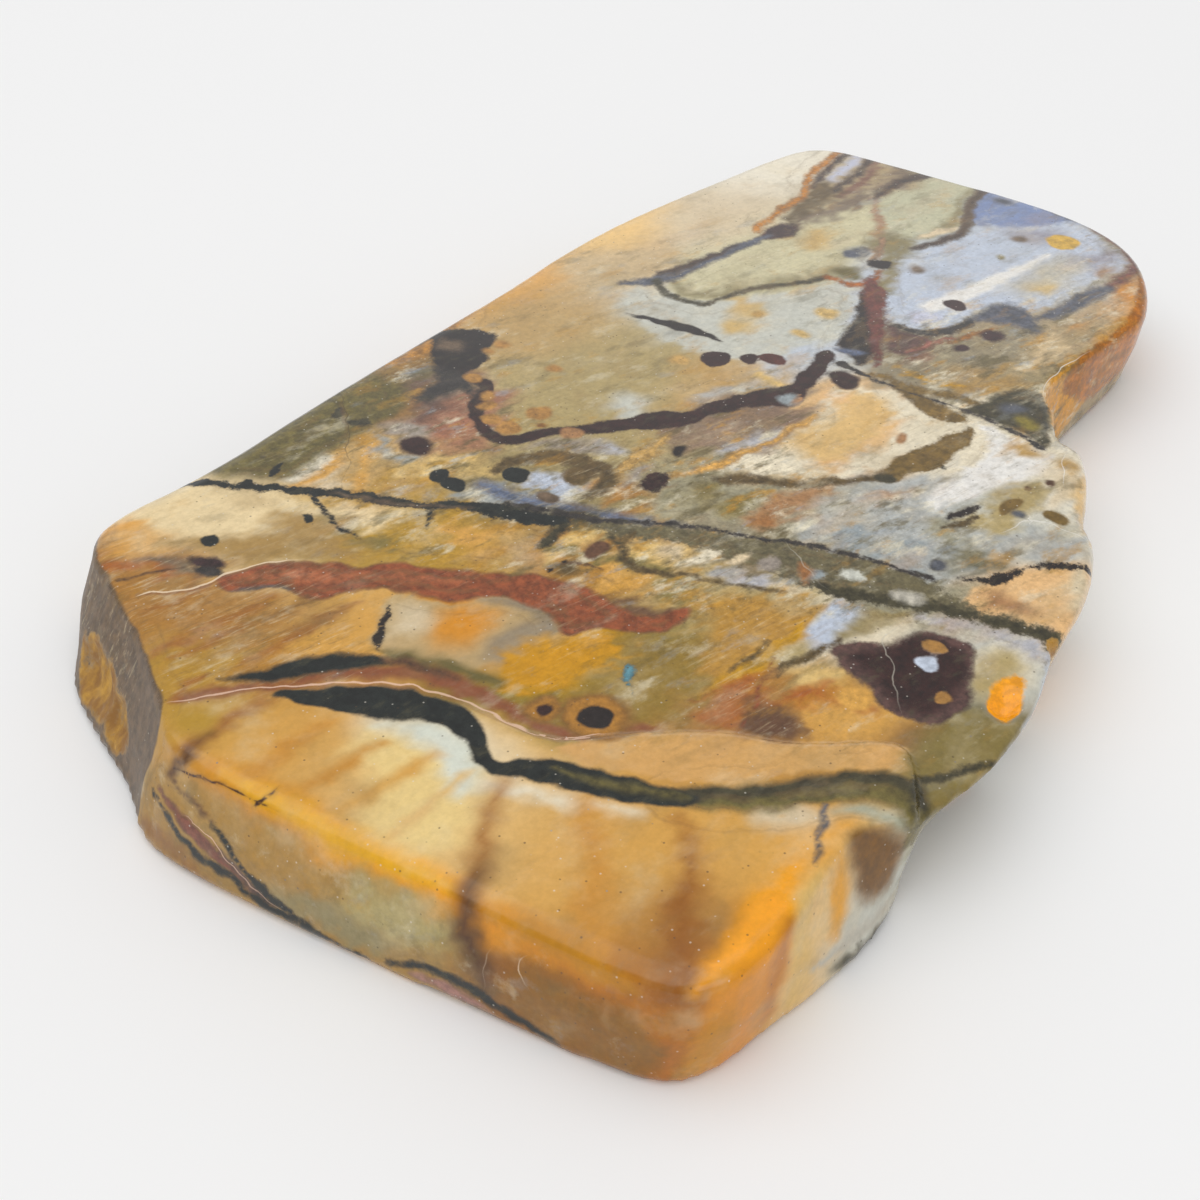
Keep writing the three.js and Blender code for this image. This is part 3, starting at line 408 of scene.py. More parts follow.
pale = dict(
    khakiPocket=patch("khakiCream", 0.5, [(-15.2, 18.3), (-13.8, 15.5), (-10.8, 15.4), (-9.4, 18),
        (-7.4, 20.9), (-4.6, 23.6), (-3.6, 26), (-4.4, 30), (-3.4, 34), (-6, 40), (-9, 39), (-10.8, 34),
        (-12, 28), (-13.8, 22.5)]),
    sagePatch=patch("sagePale", 0.9, [(-3.6, 49.6), (1.4, 49.6), (1.6, 44.5), (2.6, 41.5), (2.4, 39),
        (0.6, 36.4), (-1.4, 35.4), (-2.8, 36.4), (-4, 38.4), (-5.2, 41), (-5, 43.4), (-4, 46)]),
    blueGreyPatch=patch("bluePatch", 0.35, [(2.3, 49.6), (7, 49), (12, 47.6), (13, 46.8), (10.8, 46),
        (9.6, 44.6), (8, 43.3), (6, 42.2), (4, 41.2), (3, 42.6), (2.5, 45)]),
    lilacField=patch("mist", 0.4, [(4.2, 41.2), (3.6, 38), (2.6, 36), (0.8, 33.3), (1.2, 30), (2.3, 27),
        (3.4, 24), (4.4, 21.8), (5.4, 20.7), (7, 20.9), (8.3, 22.2), (9.4, 24), (9.9, 27), (11, 28.6),
        (13.8, 28.4), (15, 30), (15.8, 34), (17, 37.6), (18, 41), (16, 43.6), (13, 45.6), (11, 46),
        (9.2, 44), (6.8, 42)]),
    cloudField=patch("cloud", 0.7, [(-17, 14.6), (-14, 14.4), (-11, 14.6), (-9.4, 16), (-8, 18.4),
        (-6.4, 20.5), (-4.7, 21.9), (-3.2, 24.3), (-0.9, 24.2), (0.1, 22), (0.8, 20), (1.4, 18), (1.8, 16),
        (1, 14.6), (-0.4, 13), (-1.4, 11), (-3, 8.6), (-6, 8), (-10, 8.8), (-14, 9.8), (-17, 11.4)]),
    flamePatch=patch("ivory", 0.35, [(5, 9.2), (8, 10.6), (10, 10), (13, 9.2), (15.4, 9), (15, 7.5),
        (14.2, 5.5), (13.3, 3.5), (12.3, 1), (11.3, -0.6), (9.5, -2.4), (8, -3.4), (6, -4), (3.5, -5),
        (2, -5.5), (3, -2), (4, 1), (5, 4), (4.6, 7)]),
    flameCore=patch("flame", 1.1, [(6, 8), (10.2, 7.4), (10.6, 4), (9.6, 0.4), (8.2, -1.4), (7.8, 1),
        (8.4, 3.6), (6.6, 5.4)]),
    whitePatch=patch("white", 0.35, [(16.6, 9.7), (18.5, 9.8), (21, 9.0), (22.4, 8.4), (22.2, 5.5),
        (21.2, 3.2), (19.6, 1.2), (18.2, -1.6), (16.6, -1.6), (17, 1), (17.5, 4), (18.2, 6.5),
        (17.6, 8.3)]),
    greyBluePatch=patch("mistBlue", 0.9, [(10.5, -4.5), (13, -3), (16, -2.8), (18, -3.5), (20, -4),
        (22, -5.5), (22, -7.5), (20, -9.2), (16, -9.4), (13, -9.8), (10.5, -9.3), (9.5, -7)]),
    whiteSpot=patch("mist", 0.4, [(-9.6, -14.7), (-9.4, -13), (-8, -12.3), (-7, -13), (-5.6, -13.1),
        (-5, -12.2), (-4.9, -14), (-5.6, -15.2), (-7.4, -14.9)], 0.5),
    peachPatch=patch("peach", 0.5, [(23.4, -9.6), (24.4, -7), (26.2, -4.8), (28, -4), (31, -3.6), (32, -8),
        (32, -10.8), (29.4, -10.7), (26, -11.3), (24.2, -11.9)]),
    leftCream=patch("creamWarm", 1.1, [(-33, -28), (-30, -27.2), (-28, -26.6), (-25, -26.2), (-22.6, -26.2),
        (-21.4, -27.2), (-22.3, -29.2), (-24.6, -30.8), (-27, -32), (-30, -32.6), (-33, -33)]),
    creamPocket=patch("pocketBeige", 0.2, [(-9.8, -29.4), (-7, -28.9), (-5.2, -28), (-4.2, -26.9),
        (-3, -26.3), (-1, -26.2), (0.6, -26.3), (1, -27.2), (1.6, -27.8), (1, -29), (0.4, -30.5),
        (-0.2, -32), (-0.6, -33), (-2, -33.6), (-4, -34.2), (-6, -34.8), (-7.4, -34.9), (-8.2, -34.4),
        (-9, -32.6), (-10, -31)], 0.2),
    pocketGlow=orb("honeyDeep", 1.5, -4.3, -30.2, 2.0, 2.2, -15),
    pocketTop=vein("pocketTaupe", 0.5, [(-4.4, -27.2, 0.3), (-3, -26.5, 1.0), (-0.8, -26.4, 1.3),
        (0.8, -27, 1.2), (0.8, -29, 0.9), (0, -31.6, 0.8)], 0.2),
    pocketSide=orb("pocketTaupe", 1.0, -0.2, -29.6, 1.0, 2.4, -12),
    pocketLeft=orb("cream", 1.2, -7.4, -31.6, 1.2, 2.2, 20),
    pocketFoot=orb("pocketBeige", 1.0, -6, -33.6, 1.6, 0.9, -10),
    ledgeCream=patch("ledgeTan", 0.15, [(7.5, -36.4), (9.2, -34.3), (12, -32.2), (15.5, -30.1),
        (18.6, -29.15), (21.4, -27.5), (23.8, -25.9), (25.2, -25.7), (26.2, -26.8), (26.9, -28),
        (25, -28.1), (22, -29.6), (19, -32.3), (16, -34.6), (12, -36.2), (9, -36.8)], 0.2),
    lobeGlow=patch("lobeCream", 1.6, [(-3, -40.4), (0, -39), (3, -39.8), (5.4, -41), (6.4, -44),
        (5.6, -47.4), (1.6, -48.2), (-0.6, -45), (-3, -43)]),
    lobeBlue=vein("glowWhite", 0.9, [(-3.4, -40.4, 0.5), (-1, -39.6, 1.4), (1.2, -39.6, 2.2),
        (3, -40.8, 2.4), (4.4, -42, 1.4)], 0.3),
    lobeBlueEast=vein("ivory", 0.7, [(5.4, -41, 0.6), (8, -40.4, 1.0), (11, -39.8, 0.8), (14, -38.6, 0.4)],
        0.3),
    rightLilac=orb("paleGrey", 0.7, 16.8, -17.6, 1.5, 2.6, -12),
    rimCream=orb("creamWhite", 1.0, 27.6, -15.4, 1.6, 2.2, 20),
)

bands = dict(
    # far end
    ochreVein=vein("amberLine", 0.35, [(-13.4, 50, 0.9), (-13.6, 45, 0.8), (-13.6, 42.4, 0.8),
        (-12.8, 40.4, 0.8), (-12.3, 38, 0.8), (-12.6, 35.6, 0.8), (-12.9, 33, 0.7), (-12.9, 30.6, 0.8),
        (-12.8, 29.6, 0.3)], 0.5),
    farBrownA=vein("umberDark", 0.4, [(-12.6, 50, 1.0), (-12.8, 46, 0.8), (-12.6, 42.4, 0.8),
        (-12, 40.4, 0.3)], 0.5),
    farBrownB=vein("umberDark", 0.45, [(-10.2, 50, 1.0), (-9.9, 46, 0.8), (-10, 43, 0.9),
        (-10.3, 40.6, 0.5)], 0.5),
    farBrownC=vein("umberDark", 0.45, [(-3.4, 50, 1.6), (-5.2, 46.6, 1.3), (-6.2, 43.4, 1.0),
        (-6.1, 41.4, 0.5)], 0.5),
    plumKnot=patch("plumDark", 0.35, [(-11.8, 32), (-10.6, 32.4), (-9.6, 31.6), (-10, 29.8), (-11.4, 28.4),
        (-12.2, 29)], 0.5),
    longVeinLow=vein("slateDull", 0.35, [(-11.4, 29.4, 0.7), (-12.4, 27, 1.1), (-13.3, 24.6, 1.2),
        (-14.3, 21.6, 1.4), (-15.2, 19, 1.8), (-16.2, 16.8, 1.4), (-18.4, 15, 0.7)], 0.5),
    longVeinSide=vein("umberDark", 0.25, [(-12.9, 26.6, 0.2), (-14, 23.6, 0.6), (-15.2, 20.4, 0.8),
        (-16.4, 18, 0.7)], 0.4),
    forkVein=vein("oliveDark", 0.25, [(-16, 16.9, 0.9), (-15, 15.8, 0.8), (-13.8, 15.2, 0.7),
        (-12, 15.1, 0.7), (-10.6, 15.3, 0.6), (-9.8, 16.8, 0.5), (-9, 18.4, 0.6), (-8.2, 20, 0.5),
        (-7, 21.2, 0.6), (-5.5, 22.5, 0.6), (-4.4, 23.8, 0.6), (-3.7, 25, 0.7)], 0.4),
    brownVein=vein("umberDark", 0.35, [(1.9, 50, 1.1), (1.9, 46, 1.0), (2.2, 44, 0.9), (2.9, 42, 1.1),
        (3.4, 40.4, 1.0), (3.3, 39, 1.0), (2.9, 37.4, 1.0), (2.3, 36, 0.9), (1.4, 34.8, 0.7),
        (0.8, 33.6, 0.5)], 0.35),
    orangeStrip=vein("pinkBeige", 0.25, [(-2.4, 34.4, 0.3), (-1.6, 32, 0.5), (-1, 30.4, 0.4)], 0.4),
    orangeHook=vein("rustPale", 0.3, [(-3.6, 25.2, 0.5), (-2, 24.9, 0.7), (-0.6, 25.2, 0.9),
        (0.2, 26.8, 0.6), (0, 28.4, 0.4)], 0.5),
    charcoalZone=patch("blackBrown", 0.3, [(0.2, 24.6), (1.4, 23.6), (2.6, 21), (3.8, 18.6), (5, 16.8),
        (5.2, 14.6), (4.8, 13.2), (2.4, 14.8), (1.8, 15.4), (1.6, 18), (1.1, 20.6), (0.5, 22.6)], 0.5),
    maroonVein=vein("maroonRed", 0.3, [(-0.2, 26.6, 1.2), (0.9, 25, 1.9), (2.2, 22.6, 1.6), (3.3, 20, 1.3),
        (4.4, 17.6, 1.1), (5.2, 15.8, 0.9), (6, 13.8, 0.5)], 0.6),
    plumSide=patch("plum", 0.5, [(4, 21), (5.6, 20), (8.4, 20), (8.8, 18.6), (7.6, 16.6), (6, 16.4),
        (5, 18.4)], 0.8),
    slateBandA=vein("charcoal", 0.35, [(4.9, 20.6, 0.6), (6.4, 20.3, 1.0), (8, 20.9, 1.1), (9.2, 22.2, 1.1),
        (10, 24.2, 0.9), (10.3, 26, 0.5)], 0.6),
    slateCloud=patch("slateDull", 0.7, [(9.9, 24.6), (10.2, 27.4), (11.6, 28.8), (13.4, 28.4), (15, 26.6),
        (15.2, 25), (13, 25.4), (11.4, 24.8)], 0.8),
    slateBandB=vein("slateDull", 0.5, [(14.6, 27.6, 0.8), (16, 29.8, 1.3), (16.6, 32, 1.6),
        (17.4, 34.2, 1.8), (18.2, 36.2, 1.2)], 0.6),
    maroonRim=vein("maroonRed", 0.5, [(13.4, 46.4, 0.8), (15.4, 45.2, 1.2), (17.4, 43.6, 1.2),
        (18.9, 41.4, 1.3), (18.8, 38.8, 1.3), (18.2, 36.6, 0.8)], 0.5),
    orangeThreadA=vein("streakBrown", 0.25, [(9.8, 20.2, 0.3), (10.8, 21.8, 0.6), (12, 24.2, 0.3)], 0.6),
    orangeThreadB=vein("pinkLine", 0.25, [(9.6, 20.8, 0.3), (8.6, 19.2, 0.6), (7.2, 17, 0.3)], 0.6),
    amberFlank=patch("amberDeep", 0.35, [(20.0, 40), (20.4, 37), (20.9, 34), (21.2, 31), (20.9, 28),
        (20.3, 25.8), (19.6, 23.4), (20.4, 21), (22, 21), (25, 24), (27, 31), (26, 36), (23, 40)]),
    # middle
    goldDiagonalA=vein("honey", 0.3, [(5, 4.6, 0.3), (4.1, 1.5, 0.6), (3.6, -0.6, 0.6), (2.5, -3, 0.8),
        (1.2, -6, 0.8), (-0.4, -8, 0.4)], 0.4),
    goldDiagonalB=vein("ochrePale", 0.35, [(-3.4, -3.6, 0.4), (-3.6, -6, 1.3), (-4, -8.6, 1.2),
        (-4.2, -10.4, 0.4)], 0.8),
    mustardPatches=vein("mossBrown", 0.35, [(5.4, 11.9, 0.4), (7.6, 12.4, 0.9), (10.4, 12, 0.8),
        (13, 12.6, 0.9), (15.6, 12.4, 1.0), (17.4, 12.4, 0.8)], 0.8),
    mustardBelow=patch("mossBrown", 0.25, [(8, 12), (8.9, 10.9), (10.4, 10.2), (12, 9.2), (13.5, 9),
        (14.9, 9.3), (15, 10.4), (12.4, 11), (10, 12)], 0.6),
    olivePatch=patch("mossBrown", 0.22, [(12.3, 0.1), (12.9, 3), (14.2, 5.6), (14.8, 7.6), (15.4, 8.2),
        (15.7, 9.4), (16.2, 9), (16.5, 7.4), (16.3, 5.4), (16, 3.8), (15.5, 2.1), (14.4, 1.2), (13.7, -0.6),
        (12.6, -0.6)], 0.5),
    oliveMass=patch("oliveDark", 0.4, [(14.4, 10.8), (15.4, 13), (16.4, 15.4), (18.4, 16.4), (19.8, 15.4),
        (20.8, 13), (21.6, 10.6), (21.4, 9.5), (18.6, 10.7), (16, 10.9)], 0.6),
    oliveVeinFlame=vein("oliveBrown", 0.3, [(8.6, -3.2, 0.4), (9.8, -2.7, 1.3), (11, -1.9, 0.6),
        (12.4, -0.8, 0.8), (13, 0.2, 0.5)], 0.5),
    oliveEdgeLeft=patch("olive", 0.9, [(-31, -8), (-28, -8), (-24.5, -8.4), (-23, -11), (-23.4, -15),
        (-24, -19), (-24.6, -22.6), (-27.4, -24.4), (-30, -25.6), (-33, -25), (-32, -14)]),
    leftEdgeGold=patch("ochre", 0.7, [(-30, 5), (-27.4, 5), (-26, 0), (-26.4, -5), (-28.6, -7), (-31, -7)]),
    oliveArch=vein("oliveBrown", 0.3, [(-12, -14.4, 0.7), (-11.8, -13, 1.1), (-10.9, -11.8, 1.1),
        (-9.6, -10.7, 1.4), (-8, -10.2, 1.5), (-6.4, -10, 1.3), (-5, -10.2, 1.2), (-4.3, -11.2, 1.4),
        (-4.2, -12.6, 1.1), (-4.6, -13.6, 0.5)], 0.6),
    oliveDrop=orb("oliveBrown", 0.3, -6.5, -11.6, 1.1, 1.5, -10, 0.4),
    slateHaze=vein("slateBlue", 0.7, [(-12, -16.2, 0.8), (-8, -16.4, 1.6), (-4, -15.2, 1.4),
        (0, -14.4, 1.0), (3, -13.4, 0.8)]),
    teal1=orb("slateBlue", 0.35, 3.4, 14.6, 1.3, 0.45, 12),
    greenGreyVein=vein("oliveBrown", 0.4, [(2.4, -7, 0.5), (3.4, -6.3, 1.5), (5, -5.4, 1.0), (7, -4.8, 0.9),
        (8.4, -4.2, 0.9), (9.6, -3.2, 0.7)], 0.6),
    # the long dark band across the slab
    bandOlive=patch("bandGrey", 0.4, [(-3, -15.7), (0, -14.7), (3, -13.2), (6, -12.5), (9, -11.6),
        (12, -10.6), (15, -10.1), (18, -9.9), (20.5, -10.2), (23, -10.9), (25.4, -11.2), (28, -10.9),
        (30.5, -10.8), (30.2, -12.4), (28.4, -11.8), (26, -12.1), (22, -12.9), (20, -13.3), (17, -14.3),
        (15, -14.7), (13, -14.6), (10, -14.7), (8, -15), (6, -14.4), (3, -15.2), (0.6, -16.2), (-2, -16.6)],
        1.3),
    bandOliveWest=vein("oliveDark", 0.4, [(-3, -15.8, 1.5), (-5, -16.6, 1.6), (-7, -17.2, 1.4),
        (-9, -17.6, 0.8)]),
    # lower
    brickSeam=patch("brick", 0.25, [(-21.2, -34.6), (-20.3, -33.2), (-19.5, -32), (-18.6, -31),
        (-17.5, -30.3), (-16, -29.5), (-14.8, -29), (-13.6, -28.7), (-12.8, -27.7), (-11.5, -26.9),
        (-10, -26.3), (-8, -25.5), (-6, -24.6), (-4.4, -24), (-3, -23.2), (-1, -22.8), (0.5, -22.4),
        (2, -22.8), (4, -23.3), (5.8, -23), (7.2, -21.4), (8, -20.9), (8, -22.4), (7.6, -24), (6, -24.9),
        (4.3, -25.4), (3, -26.8), (2.2, -27.6), (1.5, -27.4), (0.7, -26.4), (-1, -26.1), (-3, -26.2),
        (-4.4, -26.9), (-5.4, -27.9), (-7, -28.7), (-9, -29.1), (-10.3, -29.5), (-11.5, -30),
        (-12.3, -30.8), (-13, -31.8), (-13.8, -32.8), (-14.8, -33.3), (-15.8, -33.2), (-16.6, -33),
        (-17.4, -33.4), (-18.2, -34.2), (-19, -34.9), (-20, -35.3)], 0.2),
    brickGlow=vein("brickPale", 0.5, [(-19.6, -33.6, 0.5), (-17.6, -32, 1.0), (-15.2, -30.8, 1.2),
        (-12.6, -29.2, 0.8), (-9.6, -27.6, 0.8), (-6.6, -26.3, 0.5)], 0.4),
    brickLine=vein("slate", 0.15, [(-19.4, -35.1, 0.2), (-18.2, -34.1, 0.35), (-17.2, -33.2, 0.3),
        (-16, -33.1, 0.2)], 0.2),
    lobeOlive=vein("olive", 0.5, [(15.6, -36.3, 1.2), (18, -35, 1.9), (20, -33.7, 2.1), (22, -31.8, 2.1),
        (24, -30.3, 2.1), (26, -29.5, 2.1), (27.6, -29.9, 2.0), (29.6, -31.4, 1.8)], 0.25),
    wallPink=vein("mauveBrown", 0.25, [(-14.8, -52.2, 0.3), (-11.8, -53.9, 0.9), (-10, -54.8, 1.4),
        (-8.8, -55.5, 1.2), (-7.2, -56.2, 0.7), (-5.6, -57, 0.6), (-4, -57.6, 0.4)], 0.2),
    wallGrey=vein("greyBrown", 0.3, [(-8.2, -54.8, 0.4), (-7, -55.8, 0.8), (-5.6, -56.8, 0.8),
        (-4.2, -57.5, 0.5)], 0.3),
    wallLensPink=vein("pinkGrey", 0.3, [(6.4, -57.5, 0.3), (8.4, -57.2, 0.8), (10, -57.3, 0.9),
        (11.6, -57.5, 0.3)], 0.2),
    lobeOliveCore=vein("oliveDark", 0.35, [(15.4, -36.2, 1.3), (18, -34.4, 1.2), (20, -32.9, 1.1),
        (22, -30.9, 1.1), (24, -29.3, 1.1), (26.4, -28.6, 1.2), (27.8, -29.6, 1.2)], 0.25),
    # the grey-taupe over the broken left-front facet and its walls: partly the broken stone's own colour,
    # partly painted shade of a face turned from the light
    facetTaupePaintedShade=patch("taupe", 0.2, [(-33.4, -34.8), (-31.2, -36.2), (-29.2, -37.5), (-27.1, -38.7),
        (-24, -40.6), (-22.25, -41.3), (-20.75, -42.4), (-19, -43.7), (-17, -45.0), (-15.7, -46.1),
        (-16.2, -49), (-19, -53), (-22, -56), (-30, -56), (-38, -50), (-40, -40)], 0.05),
)

